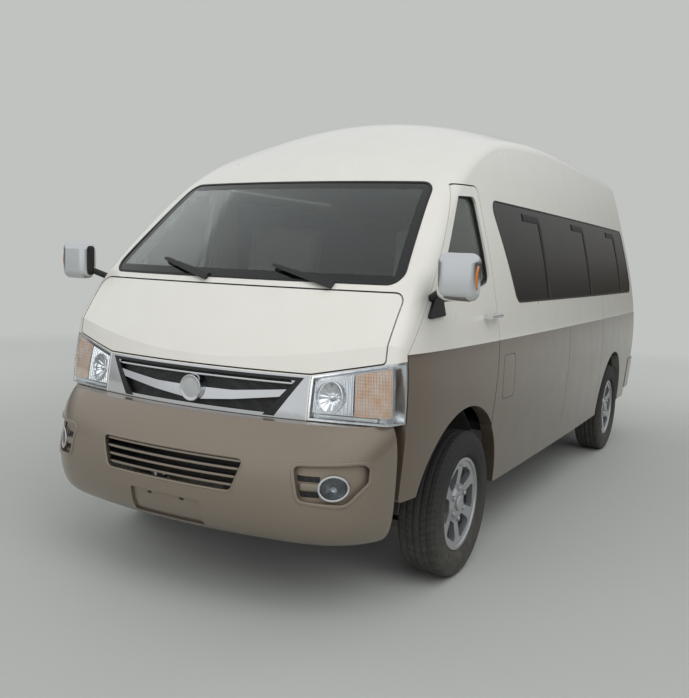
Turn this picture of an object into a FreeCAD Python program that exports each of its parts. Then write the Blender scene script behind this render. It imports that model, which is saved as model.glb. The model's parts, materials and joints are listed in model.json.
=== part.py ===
"""High roof minibus, built as separate pieces in one frame.

Millimetres. x runs forward, y to the vehicle's left, z up from the road.
"""
import FreeCAD, Part
import math
import os

from FreeCAD import Vector as V

S = 1.0

# Main sizes
WIDTH = 1880 * S
FRONT_AXLE = 1650 * S
REAR_AXLE = -1460 * S
SILL_Z = 330 * S
BELT_Z = 1040 * S
ROOF_SEAM_Z = 1785 * S
WALL = 60 * S
GLASS_T = 5 * S
CORNER_R = 70 * S
REAR_CORNER_R = 220 * S
DOOR_FRONT_X = 2200 * S

# Wheels
TYRE_R = 327 * S
TYRE_W = 195 * S
RIM_R = 202 * S
TRACK_Y = 827 * S
ARCH_R = 436 * S
HOUSE_T = 12 * S
KINGPIN_Y = 715 * S
SPINDLE_R = 32 * S
RUN_FIT = 0.05

# Floor and chassis
FLOOR_Z = 625 * S
FLOOR_T = 40 * S
RAIL_Y = 400 * S
RAIL_W = 60 * S
RAIL_H = 130 * S
RAIL_Z = FLOOR_Z - FLOOR_T - RAIL_H
RAIL_OUT = RAIL_Y + RAIL_W / 2
JACK_X = 600 * S
JACK_PAD_L = 80 * S
JACK_PAD_W = 50 * S
JACK_PAD_T = 6 * S

# Gaps between panels that move
SEAM = 6 * S
CLEAR = 8 * S

# Radii that bow the outer surfaces
SCREEN_CROWN_R = 6200 * S
ROOF_CROWN_R = 2000 * S
SCREEN_PLAN_R = 6000 * S
NOSE_PLAN_R = 2600 * S
SIDE_PLAN_R = 80000 * S
SIDE_WIDEST_X = -300 * S
WING_R = 8000 * S
WING_START_X = 1500 * S
NOSE_SIDE_R = 900 * S
NOSE_SIDE_X = 2050 * S
REAR_PLAN_R = 9000 * S
BUMPER_CORNER_R = 340 * S


def vec(x, y, z):
    return V(x * S, y * S, z * S)


def curve(points):
    spline = Part.BSplineCurve()
    spline.interpolate(Points=points)
    return spline.toShape()


def seg(a, b):
    return Part.LineSegment(a, b).toShape()


def closed_face(curves, corners):
    points = [curves[-1].Vertexes[-1].Point] + corners + [curves[0].Vertexes[0].Point]
    sides = [seg(a, b) for a, b in zip(points, points[1:])]
    return Part.Face(Part.Wire(curves + sides))


def box(x0, x1, y0, y1, z0, z1):
    return Part.makeBox(x1 - x0, y1 - y0, z1 - z0, V(x0, y0, z0))


def mirrored(shape):
    return shape.mirror(V(0, 0, 0), V(0, 1, 0))


def rounded_face(points, radius, to_vector):
    """Flat face with rounded corners; each point is a pair, with its own radius if it has three values."""
    corners = [tuple(p) + (radius,) if len(p) == 2 else tuple(p) for p in points]
    edges = []
    starts = []
    ends = []
    arcs = []
    n = len(corners)
    for i in range(n):
        p = V(corners[i][0], corners[i][1], 0)
        a = V(corners[i - 1][0], corners[i - 1][1], 0)
        b = V(corners[(i + 1) % n][0], corners[(i + 1) % n][1], 0)
        da = (a - p).normalize()
        db = (b - p).normalize()
        half = da.getAngle(db) / 2
        r = corners[i][2]
        if r < 0.01:
            starts.append(p)
            ends.append(p)
            arcs.append(None)
            continue
        t = r / math.tan(half)
        centre = p + (da + db).normalize() * (r / math.sin(half))
        starts.append(p + da * t)
        ends.append(p + db * t)
        arcs.append(centre + (p - centre).normalize() * r)
    for i in range(n):
        if arcs[i] is not None:
            edges.append(Part.Arc(to_vector(starts[i]), to_vector(arcs[i]), to_vector(ends[i])).toShape())
        nxt = starts[(i + 1) % n]
        if (nxt - ends[i]).Length > 0.01:
            edges.append(seg(to_vector(ends[i]), to_vector(nxt)))
    return Part.Face(Part.Wire(edges))


def side_prism(points, radius=0, y0=-1300 * S, y1=1300 * S):
    """Prism through the body from a side view outline of x, z pairs."""
    scaled = [tuple(c * S for c in p) for p in points]
    face = rounded_face(scaled, radius * S, lambda p: V(p.x, y0, p.y))
    return face.extrude(V(0, y1 - y0, 0))


def front_prism(points, radius=0, x0=1200 * S, x1=2900 * S):
    """Prism along the vehicle from a front view outline of y, z pairs."""
    scaled = [tuple(c * S for c in p) for p in points]
    face = rounded_face(scaled, radius * S, lambda p: V(x0, p.x, p.y))
    return face.extrude(V(x1 - x0, 0, 0))


def both(pairs):
    """Front view outline closed over the centre line from its left half."""
    return pairs + [(-p[0],) + tuple(p[1:]) for p in reversed(pairs)]


def bar_y(x, z, radius, y0, y1):
    return Part.makeCylinder(radius, y1 - y0, V(x, y0, z), V(0, 1, 0))


def soften(shape, radius, choose):
    edges = [e for e in shape.Edges if choose(e)]
    if not edges:
        return shape
    rounded = shape.makeFillet(radius, edges)
    return rounded if rounded.isValid() else shape


def only_solids(shape, smallest=1000.0):
    solids = [s for s in shape.Solids if s.Volume > smallest]
    return Part.makeCompound(solids)


# Outer form: one crowned top, one bowed nose, two bowed sides and one bowed rear

ACROSS = [k * 500 * S for k in range(-2, 3)]
ALONG = [k * 700 * S for k in range(-4, 5)]


def lofted(sections):
    """Solid lofted through closed wires; each section is a smooth line of points and its straight back corners."""
    wires = [closed_face([curve(line)], corners).OuterWire for line, corners in sections]
    return Part.makeLoft(wires, True, False, False, 3)


def crown(x):
    """Crown radius of the top: slight on hood and windscreen, stronger on the roof."""
    t = min(max((1700 * S - x) / (1000 * S), 0), 1)
    t = t * t * (3 - 2 * t)
    return 1 / (1 / SCREEN_CROWN_R + t * (1 / ROOF_CROWN_R - 1 / SCREEN_CROWN_R))


def top_form(inset):
    outline = [(2447, 900), (2410, 968), (2325, 1110), (2195, 1290), (1940, 1538), (1655, 1775)]
    outline += [(1350, 1968), (1000, 2120), (600, 2190), (100, 2222), (-600, 2226), (-1500, 2216), (-2900, 2178)]
    sections = []
    for y in ACROSS:
        line = []
        for x, z in outline:
            drop = inset * 0.75 + y * y / (2 * crown(x * S))
            line.append(V(x * S - inset * 0.7 - y * y / (2 * SCREEN_PLAN_R), y, z * S - drop))
        sections.append((line, [V(line[-1].x, y, -300 * S), V(line[0].x, y, -300 * S)]))
    return lofted(sections)


def nose_form(inset):
    outline = [(2430, 200), (2440, 600), (2425, 850), (2405, 960), (2380, 1100), (2340, 1400), (2250, 2500)]
    sections = []
    for y in ACROSS:
        line = [V(x * S - inset - y * y / (2 * NOSE_PLAN_R), y, z * S) for x, z in outline]
        sections.append((line, [V(-2900 * S, y, line[-1].z), V(-2900 * S, y, line[0].z)]))
    return lofted(sections)


def side_drop(x):
    """How far the side has drawn in at x: a long gentle bow, then the front wing and the nose corner."""
    drop = (x - SIDE_WIDEST_X) ** 2 / (2 * SIDE_PLAN_R)
    drop += max(x - WING_START_X, 0) ** 2 / (2 * WING_R)
    return drop + max(x - NOSE_SIDE_X, 0) ** 2 / (2 * NOSE_SIDE_R)


def side_form(inset):
    """Left side, lofted through upright sections that draw in towards both ends."""
    outline = [(905, 200), (932, 550), (940, 1040), (915, 1210), (868, 1450), (806, 1700)]
    outline += [(770, 1850), (722, 2020), (625, 2320)]
    sections = []
    for x in ALONG:
        drop = inset + side_drop(x)
        line = [V(x, y * S - drop, z * S) for y, z in outline]
        sections.append((line, [V(x, -1500 * S, line[-1].z), V(x, -1500 * S, line[0].z)]))
    return lofted(sections)


def rear_form(inset):
    outline = [(-2530, 200), (-2535, 900), (-2505, 1400), (-2420, 1900), (-2350, 2320)]
    sections = []
    for y in ACROSS:
        line = [V(x * S + inset + y * y / (2 * REAR_PLAN_R), y, z * S) for x, z in outline]
        sections.append((line, [V(2900 * S, y, line[-1].z), V(2900 * S, y, line[0].z)]))
    return lofted(sections)


def crease_angle(shape, edge):
    faces = shape.ancestorsOfType(edge, Part.Face)
    if len(faces) != 2:
        return 0
    middle = edge.valueAt((edge.FirstParameter + edge.LastParameter) / 2)
    normals = []
    for face in faces:
        u, v = face.Surface.parameter(middle)
        normals.append(face.normalAt(u, v))
    return math.degrees(normals[0].getAngle(normals[1]))


def body_form(inset, bottom=250 * S):
    """Whole body as one smooth solid, smaller all round by the inset."""
    side = side_form(inset)
    form = top_form(inset).common(nose_form(inset)).common(side).common(mirrored(side))
    form = form.common(rear_form(inset))
    form = form.common(box(-2800 * S, 2700 * S, -990 * S, 990 * S, bottom, 2300 * S)).Solids[0]
    tall = [e for e in form.Edges if e.BoundBox.XMax < -2150 * S and e.BoundBox.ZLength > 800 * S]
    form = form.makeFillet(REAR_CORNER_R - inset, tall).Solids[0]
    sharp = []
    for edge in form.Edges:
        if edge.BoundBox.ZMax - bottom > 2 and 20 < crease_angle(form, edge) < 160:
            sharp.append(edge)
    return form.makeFillet(max(CORNER_R - inset * 0.6, 25 * S), sharp).Solids[0]


OUTER = body_form(0)
INNER = body_form(WALL)

PARTS = {}


def wall(zone):
    """The body wall inside a zone."""
    return zone.common(OUTER).cut(INNER)


def layer(form, outer, inner, zone):
    """A skin between two insets of one form, inside a zone."""
    return zone.common(form(outer)).cut(form(inner))


def add(name, shape):
    PARTS[name] = only_solids(shape)


# Outlines in side view, x and z

DOOR_OUTLINE = [(DOOR_FRONT_X / S, 452), (DOOR_FRONT_X / S, 1038), (2150, 1092), (1578, 1745, 40), (1318, 1757, 40)]
DOOR_OUTLINE += [(1300, 1040), (1345, 700), (1345, 452)]
DOOR_WINDOW = [(1966, 1232, 25), (1566, 1696, 25), (1366, 1708, 40), (1348, 1318, 40), (1700, 1240, 120)]
SLIDE_OUTLINE = [(1262, 420, 20), (1262, 1757, 40), (-12, 1757, 40), (-12, 420, 20)]
STRIP_OUTLINE = [(1165, 1708, 50), (985, 1212, 60), (-2190, 1212, 70), (-2140, 1708, 70)]


def grown(shape_points, by):
    """Outline moved outward by an even distance."""
    n = len(shape_points)
    area = 0
    for i in range(n):
        a = shape_points[i]
        b = shape_points[(i + 1) % n]
        area += a[0] * b[1] - b[0] * a[1]
    sign = 1 if area > 0 else -1
    moved = []
    for i in range(n):
        a = shape_points[i - 1]
        p = shape_points[i]
        b = shape_points[(i + 1) % n]
        d1 = V(p[0] - a[0], p[1] - a[1], 0).normalize()
        d2 = V(b[0] - p[0], b[1] - p[1], 0).normalize()
        n1 = V(d1.y, -d1.x, 0) * sign
        n2 = V(d2.y, -d2.x, 0) * sign
        shift = (n1 + n2) * (by / (1 + n1.dot(n2)))
        extra = (max(p[2] + by, 1),) if len(p) == 3 else ()
        moved.append((p[0] + shift.x, p[1] + shift.y) + extra)
    return moved


SEAM_N = SEAM / S

arch_front = bar_y(FRONT_AXLE, TYRE_R, ARCH_R, -1200 * S, 1200 * S)
arch_rear = bar_y(REAR_AXLE, TYRE_R, ARCH_R, -1200 * S, 1200 * S)
left_half = box(-3000 * S, 3000 * S, 0, 1300 * S, 0, 2600 * S)
right_half = mirrored(left_half)

# Front doors

door_prism = side_prism(DOOR_OUTLINE, 20, 700 * S, 1000 * S)
door_hole = side_prism(grown(DOOR_OUTLINE, SEAM_N), 20, 600 * S, 1000 * S)
window_prism = side_prism(DOOR_WINDOW, 30, 700 * S, 1000 * S)
door_arch = bar_y(FRONT_AXLE, TYRE_R, ARCH_R + SEAM, -1200 * S, 1200 * S)
door_left = wall(door_prism.cut(window_prism).cut(door_arch))
pane_left = layer(side_form, 22 * S, 22 * S + GLASS_T, window_prism)
add("door_left", door_left)
add("door_right", mirrored(door_left))
add("door_glass_left", pane_left)
add("door_glass_right", mirrored(pane_left))

# Nose regions, front view, y and z

HOOD = both([(800, 1268, 40), (800, 1008, 12), (523, 950, 60)])
LAMP = [(527, 772), (527, 940), (960, 1036), (960, 772)]
LAMP_HOLE = [(527, 740), (527, 940), (960, 1036), (960, 740)]
GRILLE = both([(521, 940), (521, 770)])
GRILLE_HOLE = both([(521, 940), (521, 740)])
SCREEN = [(772, 1302, 50), (677, 1752, 60), (-677, 1752, 60), (-772, 1302, 50)]

hood_prism = front_prism(HOOD, 20)
hood_hole = front_prism(grown(HOOD, SEAM_N), 20)
lamp_prism = front_prism(LAMP)
grille_prism = front_prism(GRILLE)
screen_prism = front_prism(SCREEN, 40, 1400 * S, 2700 * S)

HOOD_T = 30 * S


def hood_form(inset):
    return top_form(inset).common(nose_form(inset))


add("bonnet", layer(hood_form, 0, HOOD_T, hood_prism))
add("windscreen", layer(top_form, 0, GLASS_T, screen_prism))

front_zone = box(1500 * S, 2700 * S, -1000 * S, 1000 * S, 770 * S, ROOF_SEAM_Z)
lamp_hole = front_prism(LAMP_HOLE)
grille_hole = front_prism(GRILLE_HOLE)
for hole in (door_hole, mirrored(door_hole), hood_hole, screen_prism, lamp_hole, mirrored(lamp_hole), grille_hole):
    front_zone = front_zone.cut(hole)
front_frame = wall(front_zone)
add("front_frame", front_frame)


def moved_back(shape, by):
    copy = shape.copy()
    copy.translate(V(-by, 0, 0))
    return copy


BULK_GAP = 90 * S
bulk_zone = box(1900 * S, 2500 * S, -750 * S, 750 * S, FLOOR_Z, 1290 * S)
cowl_zone = box(1900 * S, 2500 * S, -750 * S, 750 * S, 1262 * S, 1280 * S)
INNER_NOSE = hood_form(WALL)
bulkhead = bulk_zone.common(moved_back(INNER_NOSE, BULK_GAP)).cut(moved_back(INNER_NOSE, BULK_GAP + 15 * S))
cowl = cowl_zone.common(INNER).cut(moved_back(INNER_NOSE, BULK_GAP))
add("bulkhead", bulkhead.fuse(cowl))

# Head lamps and grille

LENS_T = 4 * S
LAMP_DEPTH = 46 * S
LENS_INSIDE = body_form(LENS_T)
LAMP_BACK = body_form(LAMP_DEPTH)
lamp_zone = lamp_prism.common(box(DOOR_FRONT_X + SEAM, 2600 * S, 0, 1300 * S, 0, 2000 * S))
lens_left = lamp_zone.common(OUTER).cut(LENS_INSIDE)
LAMP_CAVITY = [(535, 780), (535, 934), (960, 1026), (960, 780)]
lamp_cavity = front_prism(LAMP_CAVITY).common(box(DOOR_FRONT_X + SEAM + 8 * S, 2600 * S, 0, 1300 * S, 0, 2000 * S))
case_left = lamp_zone.common(LENS_INSIDE).cut(INNER).cut(lamp_cavity.cut(LAMP_BACK))
add("headlamp_lenses", Part.makeCompound([lens_left, mirrored(lens_left)]))
add("headlamp_cases", Part.makeCompound([case_left, mirrored(case_left)]))
GRILLE_OPEN = both([(470, 920, 14), (352, 785, 20)])
grille_open = front_prism(GRILLE_OPEN, 14)
add("grille_frame", layer(nose_form, 0, 40 * S, grille_prism.cut(grille_open)))
wing_left = front_prism([(455, 884, 8), (455, 858, 8), (200, 822, 40), (40, 806, 4), (40, 856, 4), (200, 858, 60)])
wings = layer(nose_form, 0, 24 * S, wing_left)
disc = Part.makeCylinder(55 * S, 40 * S, vec(2400, 0, 848), V(1, 0, 0))
wings = wings.cut(disc)
add("grille_mesh", layer(nose_form, 24 * S, 34 * S, grille_open).cut(disc))
add("grille_wings", Part.makeCompound([wings, mirrored(wings), disc]))

# Front bumper

def plan_wire(x_nose, y_side, corner, x_back, z):
    """Closed plan outline: straight sides, rounded corners and a bowed front."""
    nose = V(x_nose - NOSE_PLAN_R, 0, z)
    run = NOSE_PLAN_R - corner
    centre = V(nose.x + math.sqrt(run * run - (y_side - corner) ** 2), y_side - corner, z)
    out = (centre - nose).normalize()
    on_side = V(centre.x, y_side, z)
    on_nose = centre + out * corner
    mid = centre + (out + V(0, 1, 0)).normalize() * corner

    def flip(p):
        return V(p.x, -p.y, p.z)

    edges = [seg(V(x_back, y_side, z), on_side), Part.Arc(on_side, mid, on_nose).toShape()]
    edges.append(Part.Arc(on_nose, V(x_nose, 0, z), flip(on_nose)).toShape())
    edges.append(Part.Arc(flip(on_nose), flip(mid), flip(on_side)).toShape())
    edges.append(seg(flip(on_side), V(x_back, -y_side, z)))
    edges.append(seg(V(x_back, -y_side, z), V(x_back, y_side, z)))
    return Part.Wire(edges)


def bumper_form(inset, top=768 * S):
    """Front bumper as one solid, lofted through plan outlines."""
    levels = [(306, 2515, 822), (345, 2568, 838), (450, 2600, 850), (600, 2592, 858), (700, 2556, 861), (768, 2500, 862)]
    wires = []
    for z, x, y in levels:
        wires.append(plan_wire(x * S - inset, y * S - inset, BUMPER_CORNER_R - inset, 1900 * S, z * S))
    form = Part.makeLoft(wires, True, False)
    return form.common(box(1000 * S, 3000 * S, -1500 * S, 1500 * S, 306 * S, top))


bumper_full = bumper_form(0)
bumper_shell = bumper_full.cut(bumper_form(26 * S, 746 * S)).cut(INNER_NOSE)
bumper_back = DOOR_FRONT_X + SEAM
reach = box(bumper_back, 2700 * S, -1300 * S, 1300 * S, 300 * S, 768 * S)
reach = reach.fuse(box(2030 * S, bumper_back + 1, -1300 * S, 1300 * S, 300 * S, 444 * S))
LOWER_GRILLE = both([(363, 627, 16), (315, 500, 24)])
PLATE = both([(178, 442, 6), (178, 334, 6)])
FOG = [(560, 628, 20), (806, 640, 30), (806, 566, 40), (750, 486, 40), (592, 498, 30)]
PLATE_HOLES = 166 * S
PLATE_HOLE_R = 3.5 * S
PLATE_HOLE_Z = 425 * S
REAR_PLATE_Z = 830 * S
lower_open = front_prism(LOWER_GRILLE, 16)
fog_open = front_prism(FOG, 20)
bumper = bumper_shell.common(reach).cut(arch_front)
bumper = bumper.cut(lower_open).cut(fog_open).cut(mirrored(fog_open))
plate_cut = bumper_full.cut(bumper_form(12 * S)).common(front_prism(PLATE, 6))
bumper = bumper.cut(plate_cut)
for y in (-PLATE_HOLES / 2, PLATE_HOLES / 2):
    bumper = bumper.cut(Part.makeCylinder(PLATE_HOLE_R, 200 * S, V(2450 * S, y, PLATE_HOLE_Z), V(1, 0, 0)))
add("front_bumper", bumper)
slats = []
for k in range(4):
    z = (518 + 32 * k) * S
    slats.append(box(2300 * S, 2700 * S, -400 * S, 400 * S, z, z + 9 * S))
slat_zone = bumper_form(14 * S).cut(bumper_form(34 * S)).common(lower_open)
add("lower_grille", slat_zone.common(Part.makeCompound(slats)))

fog_body = Part.makeCylinder(46 * S, 130 * S, vec(2400, 702, 548), V(1, 0, 0))
fog_plate = bumper_form(26 * S).cut(bumper_form(40 * S)).common(front_prism(grown(FOG, 10), 24)).cut(fog_body)
fog_plate = fog_plate.common(box(bumper_back, 2700 * S, 0, 1300 * S, 0, 900 * S))
add("fog_surrounds", Part.makeCompound([fog_plate, mirrored(fog_plate)]))
fog_body = fog_body.common(bumper_form(16 * S))
add("fog_lamps", Part.makeCompound([fog_body, mirrored(fog_body)]))

# Body sides

TAIL_OUTLINE = [(740, 640, 40), (745, 1040, 300), (700, 1400, 300), (610, 1985, 70)]
TAIL_OUTLINE += [(-610, 1985, 70), (-700, 1400, 300), (-745, 1040, 300), (-740, 640, 40)]
TAIL_WINDOW = both([(610, 1250, 50), (530, 1720, 60)])
tail_prism = front_prism(TAIL_OUTLINE, 40, -3000 * S, -2150 * S)
tail_hole = front_prism(grown(TAIL_OUTLINE, SEAM_N), 40, -3000 * S, -2150 * S)
tail_window = front_prism(TAIL_WINDOW, 50, -3000 * S, -2150 * S)
bumper_zone = box(-3000 * S, -2180 * S, -1300 * S, 1300 * S, 0, 650 * S)
strip = side_prism(STRIP_OUTLINE, 60, 600 * S, 1000 * S)
slide_prism = side_prism(SLIDE_OUTLINE, 30, 600 * S, 1000 * S)
slide_hole = side_prism(grown(SLIDE_OUTLINE, SEAM_N), 30, 600 * S, 1000 * S)
lamp_rear = side_prism([(-2700, 1090), (-2700, 1560), (-2400, 1545), (-2392, 1100)], 10, 760 * S, 1000 * S)


side_zone = box(-2700 * S, 1500 * S, 0, 1000 * S, SILL_Z, ROOF_SEAM_Z)
for opening in (door_hole, strip, tail_hole, bumper_zone, lamp_rear, arch_front, arch_rear):
    side_zone = side_zone.cut(opening)
side_panel = wall(side_zone)


def side_glass(zone):
    return layer(side_form, 0, GLASS_T, zone)


glass_front = side_glass(strip.common(slide_prism))
glass_rear = side_glass(strip.cut(slide_hole))
HANDLE_Y = 938 * S
GROOVE_W = 4
GROOVE_DEPTH = 4 * S
FUEL_FLAP = [(1062, 745), (1062, 965), (1236, 965), (1236, 745)]
flap_ring = side_prism(FUEL_FLAP, 30, 600 * S, 1000 * S).cut(side_prism(grown(FUEL_FLAP, -GROOVE_W), 26, 600 * S, 1000 * S))
grooves = [flap_ring]
for x in (0, -970):
    grooves.append(box(x * S, (x + GROOVE_W) * S, 600 * S, 1000 * S, 440 * S, 1190 * S))
groove_skin = layer(side_form, -20 * S, GROOVE_DEPTH, Part.makeCompound(grooves))
add("side_left", side_panel.cut(groove_skin))
SLIDE_TRACK = [(-14, 1096), (-14, 1124), (-1180, 1124), (-1180, 1096)]
TRACK_DEPTH = 22 * S
track_skin = layer(side_form, -20 * S, TRACK_DEPTH, side_prism(SLIDE_TRACK, 6, 700 * S, 1000 * S))
rear_skin = layer(side_form, -20 * S, GROOVE_DEPTH, grooves[2])
add("side_right", mirrored(side_panel.cut(slide_hole).cut(track_skin).cut(rear_skin)))
slide_panel = side_panel.common(slide_prism)
grip = Part.makeCylinder(11 * S, 150 * S, vec(1075, HANDLE_Y / S, 1140), V(1, 0, 0))
for x in (1080, 1200):
    grip = grip.fuse(box(x * S, (x + 20) * S, 890 * S, HANDLE_Y, 1130 * S, 1150 * S))
add("sliding_door", mirrored(slide_panel.fuse(grip)))
add("side_glass_left", side_glass(strip))
add("side_glass_right", mirrored(Part.makeCompound(glass_front.Solids + glass_rear.Solids)))

# Roof, tailgate and tail lamps

add("roof", wall(box(-2700 * S, 2000 * S, -1000 * S, 1000 * S, ROOF_SEAM_Z, 2400 * S).cut(tail_hole)))
tailgate = wall(tail_prism.cut(tail_window))
for y in (-PLATE_HOLES / 2, PLATE_HOLES / 2):
    tailgate = tailgate.cut(Part.makeCylinder(PLATE_HOLE_R, 150 * S, V(-2560 * S, y, REAR_PLATE_Z), V(1, 0, 0)))
add("tailgate", tailgate)
add("tailgate_glass", layer(rear_form, 2 * S, 2 * S + GLASS_T, tail_window))
tail_lamp = wall(lamp_rear)
add("tail_lamps", Part.makeCompound([tail_lamp, mirrored(tail_lamp)]))

# Rear bumper

def rear_bumper_form(inset):
    side = side_form(inset - 4 * S)
    form = rear_form(inset - 62 * S).common(side).common(mirrored(side))
    form = form.common(box(-3000 * S, -2100 * S, -1300 * S, 1300 * S, 395 * S, 645 * S)).Solids[0]
    tall = [e for e in form.Edges if e.BoundBox.XMax < -2200 * S and e.BoundBox.ZLength > 200 * S]
    return form.makeFillet(230 * S - inset, tall).Solids[0]


rear_bumper = rear_bumper_form(0).cut(rear_bumper_form(30 * S)).common(bumper_zone)
rear_top = rear_bumper_form(0).common(box(-3000 * S, -2180 * S, -1300 * S, 1300 * S, 604 * S, 645 * S)).cut(INNER)
rear_bumper = rear_bumper.fuse(rear_top)
rear_bumper = rear_bumper.cut(box(-3000 * S, -2150 * S, -752 * S, 752 * S, 622 * S, 700 * S))
add("rear_bumper", rear_bumper)

# Floor with wheel houses

floor = box(-2500 * S, 2330 * S, -1000 * S, 1000 * S, FLOOR_Z - FLOOR_T, FLOOR_Z).common(INNER)
door_gap = box(1250 * S, 2320 * S, 770 * S, 1000 * S, 400 * S, 900 * S)
floor = floor.cut(door_gap).cut(mirrored(door_gap))


def wheel_house(x, y_in):
    y_out = WIDTH / 2
    drum = bar_y(x, TYRE_R, ARCH_R + HOUSE_T, y_in, y_out)
    inside = bar_y(x, TYRE_R, ARCH_R, y_in + HOUSE_T, y_out)
    return drum, inside


front_drum, front_inside = wheel_house(FRONT_AXLE, 500 * S)
rear_drum, rear_inside = wheel_house(REAR_AXLE, 690 * S)
front_lid = front_drum.cut(front_inside).common(box(0, 3000 * S, 0, 800 * S, SILL_Z + 40 * S, 2000 * S))
rear_lid = rear_drum.cut(rear_inside).common(INNER).common(box(-3000 * S, 0, 0, 1000 * S, SILL_Z, 2000 * S))
under = box(-3000 * S, 3000 * S, 0, 1000 * S, 0, FLOOR_Z - FLOOR_T)
front_lid = front_lid.cut(under.common(box(0, 3000 * S, 500 * S, 500 * S + HOUSE_T, 0, 2000 * S)))
rear_lid = rear_lid.cut(under.common(box(-3000 * S, 0, 690 * S, 690 * S + HOUSE_T, 0, 2000 * S)))
floor = floor.cut(front_drum).cut(mirrored(front_drum)).cut(rear_drum).cut(mirrored(rear_drum))
cover = box(780 * S, 1900 * S, -350 * S, 350 * S, FLOOR_Z, 880 * S)
cover = soften(cover, 22 * S, lambda e: e.BoundBox.ZMin > FLOOR_Z + 1)
cover = cover.cut(box(790 * S, 1890 * S, -340 * S, 340 * S, FLOOR_Z - 1, 868 * S))
well = box(790 * S, 1890 * S, -340 * S, 340 * S, 500 * S, 700 * S)
floor = floor.cut(well)
add("floor", floor.fuse(Part.makeCompound([front_lid, mirrored(front_lid), rear_lid, mirrored(rear_lid)])).fuse(cover))

# Chassis

rail = box(-2480 * S, 2260 * S, RAIL_Y - RAIL_W / 2, RAIL_Y + RAIL_W / 2, RAIL_Z, FLOOR_Z - FLOOR_T)
members = [rail, mirrored(rail)]
for x in (-2440, -1950, -950, 0, 1960, 2180):
    members.append(box(x * S, (x + 60) * S, -RAIL_Y + RAIL_W / 2, RAIL_Y - RAIL_W / 2, RAIL_Z + 20 * S, RAIL_Z + 90 * S))
beam = box(2260 * S, 2330 * S, -780 * S, 780 * S, 430 * S, 560 * S)
members.append(beam)
half_l, half_w = JACK_PAD_L / 2, JACK_PAD_W / 2
jack_pad = box(-half_l, half_l, RAIL_Y - half_w, RAIL_Y + half_w, RAIL_Z - JACK_PAD_T, RAIL_Z)
for x in (JACK_X, -JACK_X):
    for shape in (jack_pad, mirrored(jack_pad)):
        placed = shape.copy()
        placed.translate(V(x, 0, 0))
        members.append(placed)
chassis = members[0]
for m in members[1:]:
    chassis = chassis.fuse(m)
add("chassis_rails", chassis)
engine = box(900 * S, 1560 * S, -250 * S, 250 * S, 380 * S, 840 * S)
gearbox = Part.makeCone(130 * S, 80 * S, 600 * S, vec(905, 0, 440), V(-1, 0, 0))
add("engine", soften(engine, 25 * S, lambda e: True).fuse(gearbox))

# Wheels

def revolve_y(points, radius=0):
    """Ring about the y axis at the origin from y, r pairs."""
    scaled = [tuple(c * S for c in p) for p in points]
    face = rounded_face(scaled, radius * S, lambda p: V(0, p.x, p.y))
    return face.revolve(V(0, 0, 0), V(0, 1, 0), 360)


def tyre():
    half = TYRE_W / S / 2
    out = TYRE_R / S
    bead = RIM_R / S + 0.3
    right = [(66, bead, 0), (66, bead + 7, 0), (half, 262, 50), (half - 8, out - 8, 16), (half - 34, out, 30)]
    inner = [(-half + 24, out - 20, 24), (-52, bead, 0)]
    whole = right + [(-p[0],) + p[1:] for p in reversed(right)] + inner[::-1] + [(-p[0],) + p[1:] for p in inner]
    return revolve_y(whole, 4)


def rim():
    half = 78
    seat_r = RIM_R / S
    barrel = [(-half, 208, 2), (-half, 194, 2), (-half + 30, 184, 10), (half - 8, 190, 6), (half, 194, 2), (half, 208, 2)]
    barrel += [(half - 8, 208, 2), (half - 8, seat_r, 1), (-half + 8, seat_r, 1), (-half + 8, 208, 2)]
    ring = revolve_y(barrel, 1)
    face_profile = [(28, SPINDLE_R / S + RUN_FIT), (66, SPINDLE_R / S + RUN_FIT), (66, 62, 4), (54, 76, 6)]
    face_profile += [(66, 150, 30), (70, 193), (44, 193), (36, 150, 30), (28, 76, 6)]
    disc_shape = revolve_y(face_profile, 1)
    gap = rounded_face([(-26 * S, 88 * S, 14 * S), (26 * S, 88 * S, 14 * S), (66 * S, 168 * S, 18 * S), (-66 * S, 168 * S, 18 * S)], 14 * S,
                       lambda p: V(p.x, 0, p.y)).extrude(V(0, 120 * S, 0))
    for k in range(6):
        cut = gap.copy()
        cut.rotate(V(0, 0, 0), V(0, 1, 0), 60 * k + 30)
        disc_shape = disc_shape.cut(cut)
    return ring.fuse(disc_shape)


def at_wheel(shape, x, left):
    placed = shape if left else mirrored(shape)
    placed = placed.copy()
    placed.translate(V(x, TRACK_Y if left else -TRACK_Y, TYRE_R))
    return placed


TYRE = tyre()
RIM = rim()
for corner, x, left in (("fl", FRONT_AXLE, True), ("fr", FRONT_AXLE, False), ("rl", REAR_AXLE, True), ("rr", REAR_AXLE, False)):
    add("tyre_" + corner, at_wheel(TYRE, x, left))
    add("rim_" + corner, at_wheel(RIM, x, left))

# Knuckles, front arms, rear axle and springs

spindle = Part.makeCylinder(SPINDLE_R, 140 * S, V(FRONT_AXLE, TRACK_Y - 80 * S, TYRE_R), V(0, 1, 0))
stop = Part.makeCylinder(45 * S, 6 * S, V(FRONT_AXLE, TRACK_Y + 72 * S, TYRE_R), V(0, 1, 0))
disc_f = Part.makeCylinder(110 * S, 22 * S, V(FRONT_AXLE, TRACK_Y - 60 * S, TYRE_R), V(0, 1, 0))
upright = box(FRONT_AXLE - 45 * S, FRONT_AXLE + 45 * S, KINGPIN_Y - 25 * S, TRACK_Y - 55 * S, TYRE_R - 110 * S, TYRE_R + 130 * S)
upright = soften(upright, 15 * S, lambda e: e.BoundBox.YLength < 1)
hub = Part.makeCylinder(70 * S, 70 * S, V(FRONT_AXLE, TRACK_Y - 60 * S, TYRE_R), V(0, 1, 0))
knuckle = upright.fuse(disc_f).fuse(hub).fuse(spindle)
knuckle = knuckle.cut(Part.makeCylinder(22 * S, 400 * S, V(FRONT_AXLE, KINGPIN_Y, TYRE_R - 200 * S), V(0, 0, 1)))
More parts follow.
